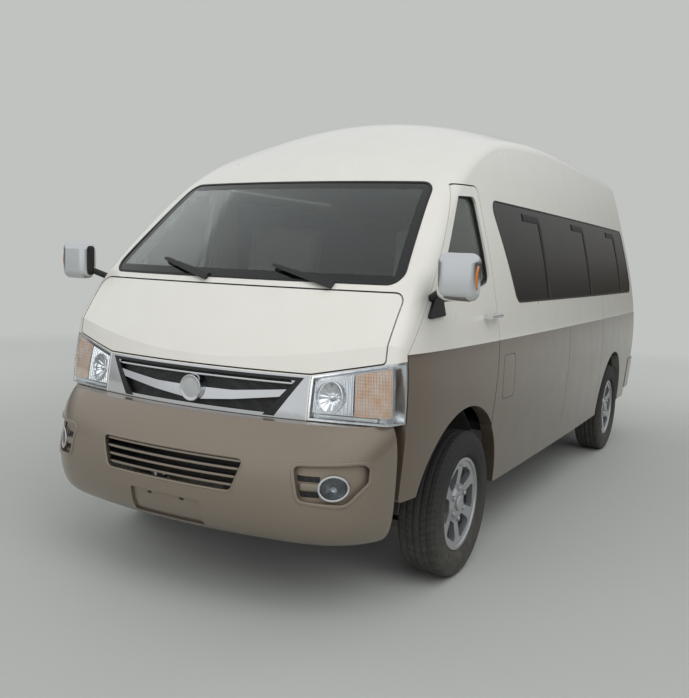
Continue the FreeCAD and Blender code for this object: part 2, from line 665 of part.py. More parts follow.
add("knuckle_left", knuckle)
add("knuckle_right", mirrored(knuckle))
arm_low = box(FRONT_AXLE - 60 * S, FRONT_AXLE + 60 * S, RAIL_Y, KINGPIN_Y + 30 * S, TYRE_R - 150 * S, TYRE_R - 116 * S)
arm_up = box(FRONT_AXLE - 40 * S, FRONT_AXLE + 40 * S, RAIL_OUT, KINGPIN_Y + 30 * S, TYRE_R + 136 * S, TYRE_R + 160 * S)
pin = Part.makeCylinder(22 * S - RUN_FIT, 300 * S, V(FRONT_AXLE, KINGPIN_Y, TYRE_R - 145 * S), V(0, 0, 1))
hanger = box(FRONT_AXLE - 70 * S, FRONT_AXLE + 70 * S, RAIL_Y - 30 * S, RAIL_Y + 30 * S, TYRE_R - 150 * S, RAIL_Z)
arms = arm_low.fuse(arm_up).fuse(pin).fuse(hanger)
add("front_arms", Part.makeCompound([arms, mirrored(arms)]))

tube = bar_y(REAR_AXLE, TYRE_R, 42 * S, -(TRACK_Y - 60 * S), TRACK_Y - 60 * S)
pumpkin = Part.makeSphere(135 * S, V(REAR_AXLE, 0, TYRE_R))
rear_hub = bar_y(REAR_AXLE, TYRE_R, 120 * S, TRACK_Y - 62 * S, TRACK_Y + 10 * S)
rear_spindle = bar_y(REAR_AXLE, TYRE_R, SPINDLE_R, TRACK_Y, TRACK_Y + 62 * S)
axle = tube.fuse(pumpkin).fuse(rear_hub).fuse(mirrored(rear_hub)).fuse(rear_spindle).fuse(mirrored(rear_spindle))
add("rear_axle", axle)
arc_pts = [V(REAR_AXLE - 650 * S, 560 * S, 480 * S), V(REAR_AXLE, 560 * S, 372 * S), V(REAR_AXLE + 600 * S, 560 * S, 470 * S)]
spring_line = Part.Arc(arc_pts[0], arc_pts[1], arc_pts[2]).toShape()
spring_top = Part.Arc(arc_pts[0] + V(0, 0, 14 * S), arc_pts[1] + V(0, 0, 26 * S), arc_pts[2] + V(0, 0, 14 * S)).toShape()
ends = [seg(arc_pts[2], arc_pts[2] + V(0, 0, 14 * S)), seg(arc_pts[0] + V(0, 0, 14 * S), arc_pts[0])]
leaf = Part.Face(Part.Wire([spring_line, ends[0], spring_top, ends[1]])).extrude(V(0, 60 * S, 0))
hang_f = box(REAR_AXLE + 560 * S, REAR_AXLE + 610 * S, RAIL_OUT, 620 * S, 470 * S, FLOOR_Z - FLOOR_T)
hang_r = box(REAR_AXLE - 660 * S, REAR_AXLE - 610 * S, RAIL_OUT, 620 * S, 480 * S, FLOOR_Z - FLOOR_T)
springs = leaf.fuse(hang_f).fuse(hang_r).cut(axle)
add("leaf_springs", Part.makeCompound([springs, mirrored(springs)]))

# Seats, dashboard and steering wheel

SEAT_GAP = 0.5 * S


def seat(x, y, width, base):
    """Cushion and backrest, whose foot is cut level just above the cushion."""
    cushion = box(x - 90 * S, x + 470 * S, y - width / 2, y + width / 2, base, base + 130 * S)
    cushion = soften(cushion, 35 * S, lambda e: True)
    back = box(-110 * S, 0, -width / 2, width / 2, 0, 700 * S)
    back = soften(back, 35 * S, lambda e: True)
    back.rotate(V(0, 0, 0), V(0, 1, 0), -14)
    back.translate(V(x + 30 * S, y, base + 30 * S))
    below = box(x - 300 * S, x + 500 * S, y - width, y + width, base - 100 * S, base + 130 * S + SEAT_GAP)
    return [cushion, back.cut(below)]


FRONT_SEAT_Z = 880 * S
REAR_SEAT_Z = 930 * S
front_seats = seat(1200 * S, 470 * S, 500 * S, FRONT_SEAT_Z) + seat(1200 * S, -470 * S, 500 * S, FRONT_SEAT_Z)
add("front_seats", Part.makeCompound(front_seats))
rear_seats = []
seat_legs = []
for x in (330, -470, -1270, -2040):
    for y, w in ((490, 420), (40, 420)) if x > -1000 else ((490, 420), (40, 420), (-410, 420)):
        rear_seats += seat(x * S, y * S, w * S, REAR_SEAT_Z)
        seat_legs.append(box((x + 40) * S, (x + 400) * S, (y - 100) * S, (y + 100) * S, FLOOR_Z, REAR_SEAT_Z))
add("rear_seats", Part.makeCompound(rear_seats))
for y in (470, -470):
    foot = box(1230 * S, 1640 * S, (y - 180) * S, (y + 180) * S, FLOOR_Z, FRONT_SEAT_Z)
    foot = foot.cut(front_drum).cut(mirrored(front_drum)).cut(cover).cut(box(790 * S, 1890 * S, -340 * S, 340 * S, 600 * S, 868 * S))
    seat_legs += foot.Solids
add("seat_bases", Part.makeCompound(seat_legs).cut(PARTS["floor"]))

dash_outline = [(2060, 1285, 20), (1780, 1270, 60), (1760, 1120, 60), (1900, 900, 60), (2090, 870, 20), (2200, 1000, 10), (2200, 1130, 10)]
dash = side_prism(dash_outline, 30, -770 * S, 770 * S).common(moved_back(INNER_NOSE, BULK_GAP + 15 * S))
add("dashboard", dash)
ring = Part.makeTorus(185 * S, 15 * S)
spoke = box(-14 * S, 14 * S, -178 * S, 178 * S, -8 * S, 8 * S)
boss = Part.makeCylinder(45 * S, 40 * S, V(0, 0, -30 * S), V(0, 0, 1))
column = Part.makeCylinder(28 * S, 240 * S, V(0, 0, -250 * S), V(0, 0, 1))
wheel = ring.fuse(spoke).fuse(boss).fuse(column)
wheel.rotate(V(0, 0, 0), V(0, 1, 0), -40)
wheel.translate(vec(1670, 450, 1190))
add("steering_wheel", wheel.cut(dash))

# Mirrors, handles

SIDE = side_form(0)


def rounded_block(x0, x1, y0, y1, z0, z1, radius):
    return soften(box(x0 * S, x1 * S, y0 * S, y1 * S, z0 * S, z1 * S), radius * S, lambda e: True)


MIRROR_FOOT = vec(1990, 845, 1245)
MIRROR_ARM = vec(2095, 975, 1310) - MIRROR_FOOT
mirror = rounded_block(2050, 2140, 928, 1094, 1252, 1436, 38)
stay = Part.makeCylinder(15 * S, MIRROR_ARM.Length, MIRROR_FOOT, MIRROR_ARM)
foot_prism = side_prism([(2050, 1170, 8), (1968, 1270, 8), (1912, 1262, 8), (1905, 1180, 8)], 8, 800 * S, 925 * S)
foot = layer(side_form, -12 * S, 0, foot_prism)
mirror_set = mirror.fuse(stay.cut(SIDE)).fuse(foot)
add("mirror_left", mirror_set)
add("mirror_right", mirrored(mirror_set))

handle = Part.makeCylinder(11 * S, 150 * S, V(1335 * S, HANDLE_Y, 1160 * S), V(1, 0, 0))
posts = box(1340 * S, 1360 * S, 860 * S, HANDLE_Y, 1150 * S, 1170 * S)
posts = posts.fuse(box(1460 * S, 1480 * S, 860 * S, HANDLE_Y, 1150 * S, 1170 * S))
handle = handle.fuse(posts).cut(SIDE)
add("handle_left", handle)
add("handle_right", mirrored(handle))

# Mud flaps

FLAP_TOP = 400 * S
FLAP_T = 10 * S
reach_x = math.sqrt(ARCH_R ** 2 - (FLAP_TOP - TYRE_R) ** 2)
flap_f = box(FRONT_AXLE - reach_x + 0.3, FRONT_AXLE - reach_x + 0.3 + FLAP_T, 690 * S, 832 * S, 262 * S, FLAP_TOP)
flap_r = box(REAR_AXLE - reach_x + 0.3, REAR_AXLE - reach_x + 0.3 + FLAP_T, 700 * S, 826 * S, 262 * S, FLAP_TOP)
add("mud_flaps", Part.makeCompound([flap_f, mirrored(flap_f), flap_r, mirrored(flap_r)]))

# Fuel tank and exhaust under the floor

tank = rounded_block(-800, -150, 452, 740, 370, 580, 40)
strap = box(-700 * S, -660 * S, 500 * S, 700 * S, 560 * S, FLOOR_Z - FLOOR_T)
straps = strap.fuse(box(-300 * S, -260 * S, 500 * S, 700 * S, 560 * S, FLOOR_Z - FLOOR_T))
add("fuel_tank", tank.fuse(straps))
EXHAUST_Y = -500 * S
EXHAUST_Z = 438 * S
pipe = Part.makeCylinder(24 * S, 3300 * S, V(-2450 * S, EXHAUST_Y, EXHAUST_Z), V(1, 0, 0))
silencer = Part.makeCylinder(78 * S, 500 * S, V(-700 * S, EXHAUST_Y - 40 * S, EXHAUST_Z + 10 * S), V(1, 0, 0))
silencer = soften(silencer, 15 * S, lambda e: True)
hooks = box(-480 * S, -450 * S, EXHAUST_Y - 60 * S, EXHAUST_Y - 20 * S, EXHAUST_Z + 60 * S, FLOOR_Z - FLOOR_T)
hooks = hooks.fuse(box(700 * S, 730 * S, EXHAUST_Y - 15 * S, EXHAUST_Y + 15 * S, EXHAUST_Z, FLOOR_Z - FLOOR_T))
add("exhaust", pipe.fuse(silencer).fuse(hooks))

# Wipers, parked low on the windscreen

WIPER_TIPS = [(-437, 1372), (190, 1362)]
WIPER_PIVOTS = [(-118, 1300), (500, 1290)]


def wiper(tip, pivot):
    """Blade and arm as one bar that tapers from pivot to tip, standing on the glass."""
    dy = tip[0] - pivot[0]
    dz = tip[1] - pivot[1]
    length = math.hypot(dy, dz)
    side_y = -dz / length
    side_z = dy / length
    ends = ((pivot, 14), (tip, 5))
    outline = [(p[0] + side_y * w, p[1] + side_z * w) for p, w in ends]
    outline += [(p[0] - side_y * w, p[1] - side_z * w) for p, w in reversed(ends)]
    bar = layer(top_form, -16 * S, -1 * S, front_prism(outline, 0, 1700 * S, 2400 * S))
    return bar


add("wipers", Part.makeCompound([wiper(t, p) for t, p in zip(WIPER_TIPS, WIPER_PIVOTS)]))

def join(name, others):
    """Like pieces of one body kept in one node, as solids that don't touch."""
    solids = []
    for other in others:
        solids += PARTS.pop(other).Solids
    PARTS[name] = Part.makeCompound(solids)


join("grille_chrome", ["grille_frame", "grille_wings"])
join("lower_grilles", ["lower_grille", "fog_surrounds", "grille_mesh"])
join("lamp_cases", ["headlamp_cases", "fog_lamps"])
join("seats", ["front_seats", "rear_seats"])
join("door_fittings_left", ["mirror_left", "handle_left"])
join("door_fittings_right", ["mirror_right", "handle_right"])
join("side_glass", ["side_glass_left", "side_glass_right"])
join("suspension", ["front_arms", "leaf_springs"])
PARTS["floor"] = only_solids(PARTS["floor"].fuse(PARTS.pop("bulkhead")))

os.makedirs("parts", exist_ok=True)
for name, shape in PARTS.items():
    shape.exportStep("parts/" + name + ".step")
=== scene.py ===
"""Dresses the high roof minibus: paint, glass, lamps, tyres, seats and small trim.

Metres, x forward, y to the vehicle's left, z up from the road.
"""

import json
import logging
import math
from dataclasses import dataclass, field
from enum import Enum
from typing import Optional, Sequence

import bmesh
import bpy
import numpy as np
from mathutils import Matrix, Vector
from mathutils.bvhtree import BVHTree

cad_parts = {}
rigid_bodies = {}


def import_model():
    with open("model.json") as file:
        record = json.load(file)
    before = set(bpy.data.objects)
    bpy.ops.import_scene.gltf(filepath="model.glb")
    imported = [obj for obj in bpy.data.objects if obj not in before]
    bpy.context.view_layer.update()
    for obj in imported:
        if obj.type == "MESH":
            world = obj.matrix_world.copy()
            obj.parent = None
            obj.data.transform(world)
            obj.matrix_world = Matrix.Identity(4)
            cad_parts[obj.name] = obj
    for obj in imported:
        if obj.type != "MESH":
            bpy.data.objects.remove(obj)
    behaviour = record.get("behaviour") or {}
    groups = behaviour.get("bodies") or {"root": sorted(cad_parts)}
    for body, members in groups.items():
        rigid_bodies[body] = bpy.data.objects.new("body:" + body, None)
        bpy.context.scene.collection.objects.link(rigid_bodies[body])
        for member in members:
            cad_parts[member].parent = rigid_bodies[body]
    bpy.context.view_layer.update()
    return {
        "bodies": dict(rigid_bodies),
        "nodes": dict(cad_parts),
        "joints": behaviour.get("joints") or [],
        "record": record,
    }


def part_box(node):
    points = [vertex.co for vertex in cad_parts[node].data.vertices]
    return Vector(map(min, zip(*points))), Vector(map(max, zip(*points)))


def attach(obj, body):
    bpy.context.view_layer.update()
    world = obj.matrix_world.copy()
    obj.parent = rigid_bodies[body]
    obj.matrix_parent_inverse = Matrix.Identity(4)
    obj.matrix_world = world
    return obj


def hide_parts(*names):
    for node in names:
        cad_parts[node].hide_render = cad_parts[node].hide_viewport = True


LOG = logging.getLogger("minibus")

Socket = bpy.types.NodeSocket
Material = bpy.types.Material
Piece = bpy.types.Object
Shape = tuple[np.ndarray, list]
Pair = tuple[float, float]

BELT_Z: float = 1.040
FRONT_AXLE_X: float = 1.650
REAR_AXLE_X: float = -1.460
TYRE_R: float = 0.327
TRACK_Y: float = 0.827
CABIN_MIDDLE: tuple[float, float, float] = (-0.1, 0.0, 1.25)

BLACK: str = "#161617"
# Painted shade: near black for the holes of a moulded mesh, where the dark behind an open mesh would show.
PAINTED_HOLE_SHADE: str = "#040404"
DUST: str = "#8f8a80"
DUST_FULL_Z: float = 0.15
DUST_PATCH_MM: float = 40.0
GLOSS_DRIFT: float = 0.06
COAT_ROUGHNESS: float = 0.04
BUMP_STRENGTH: float = 0.6

SLOT_FINISH: dict[str, str] = {
    "paint_white": "white_enamel",
    "paint_two_tone": "belt_enamel",
    "paint_champagne": "champagne_enamel",
    "chrome_trim": "chromed_plastic",
    "black_plastic": "grained_black_plastic",
    "glass_clear": "clear_safety_glass",
    "glass_dark": "privacy_glass",
    "lens_clear": "clear_lens",
    "lamp_case": "silvered_reflector",
    "lamp_red": "banded_tail_lens",
    "chassis_black": "black_chassis_paint",
    "engine_grey": "cast_iron",
    "tyre_black": "tyre_rubber",
    "rim_silver": "silver_wheel_paint",
    "steel": "machined_steel",
    "seat_cloth": "woven_seat_cloth",
    "dash_plastic": "soft_dash_plastic",
    "floor_paint": "floor_vinyl",
    "flap_rubber": "flap_rubber",
}

NODE_FINISH: dict[str, str] = {
    "windscreen": "windscreen_glass",
    "door_glass_left": "door_glass",
    "door_glass_right": "door_glass",
    "lower_grilles": "moulded_black_mesh",
    "grille_chrome": "chromed_grille",
    "door_fittings_left": "chromed_mirror_shell",
    "door_fittings_right": "chromed_mirror_shell",
}

MADE: dict[str, Material] = {}


class Corner(Enum):
    """The four wheels, by their body names."""

    FRONT_LEFT = "fl"
    FRONT_RIGHT = "fr"
    REAR_LEFT = "rl"
    REAR_RIGHT = "rr"

    @property
    def x(self) -> float:
        """Place of the wheel along the vehicle."""
        return FRONT_AXLE_X if self.value[0] == "f" else REAR_AXLE_X

    @property
    def side(self) -> int:
        """Plus one on the left, minus one on the right."""
        return 1 if self.value[1] == "l" else -1


class Side(Enum):
    """Left or right, as the sign of y."""

    LEFT = 1
    RIGHT = -1

    @property
    def word(self) -> str:
        """The side's name for pieces and bodies."""
        return self.name.lower()

    def between(self, near: float, far: float) -> list[float]:
        """Two distances from the middle plane as y on this side, the lower first."""
        return sorted([self.value * near, self.value * far])


def linear(code: str) -> tuple[float, float, float, float]:
    """Turns an sRGB hex colour into the linear colour that a shader takes.

    Args:
        code: six hex digits after a hash sign.

    Returns:
        Red, green, blue and an alpha of one.
    """
    parts = [int(code[i : i + 2], 16) / 255 for i in (1, 3, 5)]
    return tuple(p / 12.92 if p <= 0.04045 else ((p + 0.055) / 1.055) ** 2.4 for p in parts) + (1.0,)


class Nodes:
    """The node tree of a material or world, with short ways to add to it."""

    def __init__(self, owner: bpy.types.ID, shader: str, coordinates: str) -> None:
        """Turns the owner's nodes on and takes the shader that it has by that name.

        Args:
            owner: a material or a world.
            shader: name of the shader node in its plain tree.
            coordinates: output of the coordinate node that patterns are placed by.
        """
        owner.use_nodes = True
        self.tree = owner.node_tree
        self.shader = self.tree.nodes[shader]
        self.place = self.add("TexCoord").outputs[coordinates]

    def feed(self, node: bpy.types.Node, values: dict) -> bpy.types.Node:
        """Fills a node's inputs, each by a link from a socket or with a plain value.

        Args:
            node: the node to fill.
            values: input name or number to an output socket or a plain value.

        Returns:
            The same node.
        """
        for key, value in values.items():
            if isinstance(value, Socket):
                self.tree.links.new(value, node.inputs[key])
            else:
                node.inputs[key].default_value = value
        return node

    def surface(self, values: dict) -> None:
        """Fills inputs of the shader."""
        self.feed(self.shader, values)

    def add(self, kind: str, values: Optional[dict] = None, **settings: object) -> bpy.types.Node:
        """Adds one shader node.

        Args:
            kind: the node's type name without its ShaderNode prefix.
            values: input name or number to an output socket or a plain value.
            **settings: properties of the node itself.

        Returns:
            The new node.
        """
        made = self.tree.nodes.new("ShaderNode" + kind)
        for key, value in settings.items():
            setattr(made, key, value)
        return self.feed(made, values or {})

    def calc(self, operation: str, *values: object, clamp: bool = False) -> Socket:
        """One step of arithmetic on sockets or plain numbers."""
        return self.add("Math", dict(enumerate(values)), operation=operation, use_clamp=clamp).outputs[0]

    def product(self, *values: object) -> Socket:
        """All the values multiplied, one after another.

        Args:
            *values: sockets or plain numbers, two or more.

        Returns:
            Socket of the product.
        """
        result = values[0]
        for value in values[1:]:
            result = self.calc("MULTIPLY", result, value)
        return result

    def ramp(
        self, value: Socket, low: float = 0, high: float = 1, start: float = 0, end: float = 1
    ) -> Socket:
        """Maps low to start and high to end in a straight line, held at both ends."""
        ends = {"From Min": low, "From Max": high, "To Min": start, "To Max": end}
        return self.add("MapRange", {"Value": value, **ends}).outputs["Result"]

    def mixed(self, share: Socket, first: object, second: object) -> Socket:
        """Mixes two colours, each a socket or a hex code, by a share from zero to one."""
        first, second = (linear(c) if isinstance(c, str) else c for c in (first, second))
        return self.add("Mix", {0: share, 6: first, 7: second}, data_type="RGBA").outputs[2]

    def noise(self, size_mm: float, detail: float) -> Socket:
        """Soft noise with spots of about the stated size."""
        spots = {"Vector": self.place, "Scale": 1000 / size_mm, "Detail": detail}
        return self.add("TexNoise", spots).outputs["Fac"]

    def axes(self) -> tuple[Socket, Socket, Socket]:
        """The place along the vehicle, the distance from its middle plane and the height."""
        split = self.add("SeparateXYZ", {"Vector": self.place}).outputs
        return split["X"], self.calc("ABSOLUTE", split["Y"]), split["Z"]

    def over_colour(self, share: Socket, colour: str) -> None:
        """Lays a colour by a share over what the shader's colour is already."""
        under = self.shader.inputs["Base Color"].links[0].from_socket
        self.surface({"Base Color": self.mixed(share, under, colour)})


@dataclass(frozen=True)
class Finish:
    """A surface finish with a drifting colour, a patchy gloss, a fine grain and road dust low down."""

    name: str
    colour: str
    shade: str
    roughness: float
    metallic: float = 0.0
    coat: float = 0.0
    grain_mm: float = 1.0
    bump_mm: float = 0.01
    patch_mm: float = 160.0
    specular: float = 0.5
    dust: float = 0.0
    dust_top_z: float = 0.75

    def build(self) -> Material:
        """Makes the material on Object coordinates: colour, gloss, bump and what the finish adds.

        Returns:
            The new material.
        """
        material = bpy.data.materials.new(self.name)
        nodes = Nodes(material, "Principled BSDF", "Object")
        low, high = max(self.roughness - GLOSS_DRIFT, 0.02), min(self.roughness + GLOSS_DRIFT, 1.0)
        bump = {"Height": self.grain(nodes), "Strength": BUMP_STRENGTH, "Distance": self.bump_mm / 1000}
        nodes.surface(
            {
                "Metallic": self.metallic,
                "Coat Weight": self.coat,
                "Coat Roughness": COAT_ROUGHNESS,
                "Specular IOR Level": self.specular,
                "Base Color": self.dusted(nodes, self.colour_at(nodes)),
                "Roughness": nodes.ramp(nodes.noise(self.patch_mm, 3.0), start=low, end=high),
                "Normal": nodes.add("Bump", bump).outputs["Normal"],
            }
        )
        self.finish(nodes)
        return material

    def grain(self, nodes: Nodes) -> Socket:
        """Fine uneven grain of the stated size."""
        return nodes.noise(self.grain_mm, 2.0)

    def colour_at(self, nodes: Nodes) -> Socket:
        """Colour over the surface: the main colour drifting a little towards its shade."""
        return nodes.mixed(nodes.noise(self.patch_mm, 4.0), self.colour, self.shade)

    def dusted(self, nodes: Nodes, colour: Socket) -> Socket:
        """Adds grey road dust that thins out upwards and breaks up in patches.

        The dust's share falls in a straight line from full at the road to nothing at its top, and is
        multiplied by soft noise.

        Args:
            nodes: the tree of the material that is being made.
            colour: colour of the clean surface.

        Returns:
            Colour of the dusty surface.
        """
        if self.dust == 0:
            return colour
        fade = nodes.ramp(nodes.axes()[2], DUST_FULL_Z, self.dust_top_z, self.dust, 0)
        return nodes.mixed(nodes.product(fade, nodes.noise(DUST_PATCH_MM, 6.0)), colour, DUST)

    def finish(self, nodes: Nodes) -> None:
        """Nothing more for a plain finish."""


@dataclass(frozen=True)
class BodyPaint(Finish):
    """Body enamel, white above a height and metallic champagne below it, grey on what faces the cabin."""

    lower: str = "#7a6c5e"
    lower_shade: str = "#6a5d50"
    flake_mm: float = 2.0
    flakes: float = 0.6
    split_z: float = BELT_Z
    blur: float = 0.001
    lining: str = "#9b978f"
    lined: bool = True

    def colour_at(self, nodes: Nodes) -> Socket:
        """White above and metal flakes below, which are drawn coarse so that they show.

        Args:
            nodes: the tree of the material that is being made.

        Returns:
            Colour over the surface.
        """
        above = super().colour_at(nodes)
        cells = nodes.add("TexVoronoi", {"Vector": nodes.place, "Scale": 1000 / self.flake_mm})
        below = nodes.mixed(cells.outputs["Distance"], self.lower, self.lower_shade)
        outer = nodes.mixed(self.above_split(nodes), below, above)
        return nodes.mixed(self.faces_cabin(nodes), outer, self.lining) if self.lined else outer

    def above_split(self, nodes: Nodes) -> Socket:
        """One above the split and zero below."""
        return nodes.ramp(nodes.axes()[2], self.split_z - self.blur, self.split_z + self.blur)

    def faces_cabin(self, nodes: Nodes) -> Socket:
        """One where the surface's normal points towards the middle of the cabin.

        The dot product of the normal and the direction away from the middle is then below a limit.

        Args:
            nodes: the tree of the material that is being made.

        Returns:
            Socket of one or zero.
        """
        out = nodes.add("VectorMath", {0: nodes.place, 1: CABIN_MIDDLE}, operation="SUBTRACT").outputs[0]
        normal = nodes.add("TexCoord").outputs["Normal"]
        agree = nodes.add("VectorMath", {0: normal, 1: out}, operation="DOT_PRODUCT").outputs[1]
        return nodes.calc("LESS_THAN", agree, -0.25)

    def finish(self, nodes: Nodes) -> None:
        """The champagne is metallic, the white isn't."""
        nodes.surface({"Metallic": nodes.ramp(self.above_split(nodes), start=self.flakes, end=0)})


@dataclass(frozen=True)
class Glazing(Finish):
    """Safety glass that lets light through by a share, with a black printed border where it has one."""

    clear: float = 1.0
    border_low: float = 0.0
    border_high: float = math.inf
    border_side: float = 0.0
    border_lean: float = 0.0
    border: str = "#0b0b0c"

    def finish(self, nodes: Nodes) -> None:
        """Transmission is off on the border, which lies below, above and outside three straight lines.

        Args:
            nodes: the tree of the material that is being made.
        """
        nodes.surface({"IOR": 1.5, "Transmission Weight": self.clear})
        if self.border_high == math.inf:
            return
        _, width, height = nodes.axes()
        low = nodes.calc("LESS_THAN", height, self.border_low)
        high = nodes.calc("GREATER_THAN", height, self.border_high)
        lean = nodes.calc("MULTIPLY_ADD", height, self.border_lean, self.border_side)
        side = nodes.calc("GREATER_THAN", width, lean)
        border = nodes.calc("MAXIMUM", nodes.calc("MAXIMUM", low, high), side)
        nodes.surface({"Transmission Weight": nodes.ramp(border, start=self.clear, end=0)})
        nodes.over_colour(border, self.border)


@dataclass(frozen=True)
class TailLens(Finish):
    """Moulded tail lamp lens in three bands: red, then clear, then amber, ribbed across every 12 mm."""

    clear_z: Pair = (1.18, 1.27)
    amber_z: Pair = (1.27, 1.36)
    clear: str = "#d8d9d8"
    amber: str = "#d9791a"
    rib_scale: float = 26.0

    def colour_at(self, nodes: Nodes) -> Socket:
        """Red, with the clear and the amber band laid over it.

        Args:
            nodes: the tree of the material that is being made.

        Returns:
            Colour over the surface.
        """
        colour = super().colour_at(nodes)
        height = nodes.axes()[2]
        for (low, high), band in ((self.clear_z, self.clear), (self.amber_z, self.amber)):
            over, under = nodes.calc("GREATER_THAN", height, low), nodes.calc("LESS_THAN", height, high)
            colour = nodes.mixed(nodes.product(over, under), colour, band)
        return colour

    def grain(self, nodes: Nodes) -> Socket:
        """Ribs across the lens."""
        ribs = {"Vector": nodes.place, "Scale": self.rib_scale}
        return nodes.add("TexWave", ribs, bands_direction="Z").outputs["Fac"]


@dataclass(frozen=True)
class MirrorShell(Finish):
    """Chromed cap and handle, with the foot and stay of the door mirror in black plastic."""

    cap_y: float = 0.932
    foot_x: float = 1.7
    dull: float = 0.5

    def black(self, nodes: Nodes) -> Socket:
        """One on the foot and stay, which lie ahead of the handle and inside the cap.

        Args:
            nodes: the tree of the material that is being made.

        Returns:
            Socket of one or zero.
        """
        along, width, _ = nodes.axes()
        ahead = nodes.calc("GREATER_THAN", along, self.foot_x)
        return nodes.product(nodes.calc("LESS_THAN", width, self.cap_y), ahead)

    def colour_at(self, nodes: Nodes) -> Socket:
        """Bright chrome, or black."""
        return nodes.mixed(self.black(nodes), super().colour_at(nodes), BLACK)

    def finish(self, nodes: Nodes) -> None:
        """Black plastic isn't metal and is rougher.

        Args:
            nodes: the tree of the material that is being made.
        """
        black = self.black(nodes)
        dull = nodes.ramp(black, start=self.roughness, end=self.dull)
        nodes.surface({"Metallic": nodes.ramp(black, start=1, end=0), "Roughness": dull})


@dataclass(frozen=True)
class GrilleChrome(MirrorShell):
    """Chromed grille with a black inner margin, so that the bright frame round the mesh is narrow.

    Each of the two lines gives half the width at a height, then how far it leans out for each metre upwards.
    """

    opening: tuple[float, float, float] = (0.348, 0.785, 0.874)
    margin: tuple[float, float, float] = (0.390, 0.775, 0.700)
    top: Pair = (0.918, 0.932)

    def line(self, nodes: Nodes, height: Socket, wide: float, at: float, lean: float) -> Socket:
        """Half the width at a height of an opening whose sides lean out."""
        return nodes.calc("MULTIPLY_ADD", height, lean, wide - at * lean)

    def black(self, nodes: Nodes) -> Socket:
        """One between the solid's opening and a wider one, so the wings end short of the bright frame.

        Args:
            nodes: the tree of the material that is being made.

        Returns:
            Socket of one or zero.
        """
        _, width, height = nodes.axes()
        outside = nodes.calc("GREATER_THAN", width, self.line(nodes, height, *self.opening))
        edge = nodes.calc("MAXIMUM", outside, nodes.calc("GREATER_THAN", height, self.top[0]))
        inside = nodes.calc("LESS_THAN", width, self.line(nodes, height, *self.margin))
        low, high = self.margin[1], self.top[1]
        band = nodes.calc("COMPARE", height, (low + high) / 2, (high - low) / 2)
        return nodes.product(edge, inside, band)


@dataclass(frozen=True)
class StageFloor(Finish):
    """Painted floor that turns into the backdrop's colour far away."""

    backdrop: str = "#c0c3c0"
    near: float = 3.5
    far: float = 10.0

    def finish(self, nodes: Nodes) -> None:
        """Far from the vehicle the floor gives off the backdrop's colour and reflects nothing.

        Args:
            nodes: the tree of the material that is being made.
        """
        away = nodes.add("VectorMath", {0: nodes.place}, operation="LENGTH").outputs["Value"]
        share = nodes.ramp(away, self.near, self.far)
        glossy = nodes.product(nodes.calc("SUBTRACT", 1.0, share), self.specular)
        nodes.over_colour(share, "#000000")
        glow = {"Emission Strength": share, "Emission Color": linear(self.backdrop)}
        nodes.surface({"Specular IOR Level": glossy, **glow})


@dataclass(frozen=True)
class Cloth(Finish):
    """Woven seat cloth with a soft sheen: ribs of threads both ways, drawn coarse so that they show.

    A wave texture repeats every 314 mm over its scale, so the ribs are 19 mm apart.
    """

    rib_scale: float = 1000 / 60
    sheen: float = 0.35

    def grain(self, nodes: Nodes) -> Socket:
        """Two crossing families of threads."""
        wave = {"Vector": nodes.place, "Scale": self.rib_scale, "Distortion": 0.4}
        return nodes.product(*(nodes.add("TexWave", wave, bands_direction=d).outputs["Fac"] for d in "YZ"))

    def finish(self, nodes: Nodes) -> None:
        """The sheen of short fibres."""
        nodes.surface({"Sheen Weight": self.sheen})


@dataclass(frozen=True)
class FineMesh(Finish):
    """Black moulded mesh: a honeycomb raised between holes painted near black as shade."""

    cell_mm: float = 9.0
    web: float = 0.16
    slope: float = 0.2

    def cells(self, nodes: Nodes) -> Socket:
        """Distance from a cell's edge."""
        even = {"Vector": nodes.place, "Scale": 1000 / self.cell_mm, "Randomness": 0.0}
        return nodes.add("TexVoronoi", even, feature="DISTANCE_TO_EDGE").outputs["Distance"]

    def colour_at(self, nodes: Nodes) -> Socket:
        """Black webs, with painted shade in the holes."""
        # Painted shade: the holes are near black, as the dark behind an open mesh.
        return nodes.mixed(nodes.calc("LESS_THAN", self.cells(nodes), self.web), PAINTED_HOLE_SHADE, self.colour)

    def grain(self, nodes: Nodes) -> Socket:
        """The webs stand up."""
        return nodes.ramp(self.cells(nodes), high=self.slope, start=1, end=0)


@dataclass(frozen=True)
class NoseMesh(FineMesh):
    """The black mesh of the nose, with champagne plates and two dark slots by each fog lamp."""

    paint: str = "#8f8376"
    flakes: float = 0.5
    plate_y: float = 0.50
    slot_y: float = 0.655
    slots: tuple[Pair, ...] = ((0.577, 0.011), (0.520, 0.011))

    def painted(self, nodes: Nodes) -> Socket:
        """One on the plates outside the slots, whose middle height and half height are given.

        Args:
            nodes: the tree of the material that is being made.

        Returns:
            Socket of one or zero.
        """
        _, width, height = nodes.axes()
        plate = nodes.calc("GREATER_THAN", width, self.plate_y)
        inner = nodes.calc("LESS_THAN", width, self.slot_y)
        for middle, half in self.slots:
            slot = nodes.product(nodes.calc("COMPARE", height, middle, half), inner)
            plate = nodes.calc("SUBTRACT", plate, slot, clamp=True)
        return plate

    def colour_at(self, nodes: Nodes) -> Socket:
        """Mesh, or paint."""
        return nodes.mixed(self.painted(nodes), super().colour_at(nodes), self.paint)

    def grain(self, nodes: Nodes) -> Socket:
        """The webs stand up, the paint is smooth."""
        return nodes.product(super().grain(nodes), nodes.calc("SUBTRACT", 1.0, self.painted(nodes)))

    def finish(self, nodes: Nodes) -> None:
        """The paint is metallic."""
        nodes.surface({"Metallic": nodes.ramp(self.painted(nodes), end=self.flakes)})


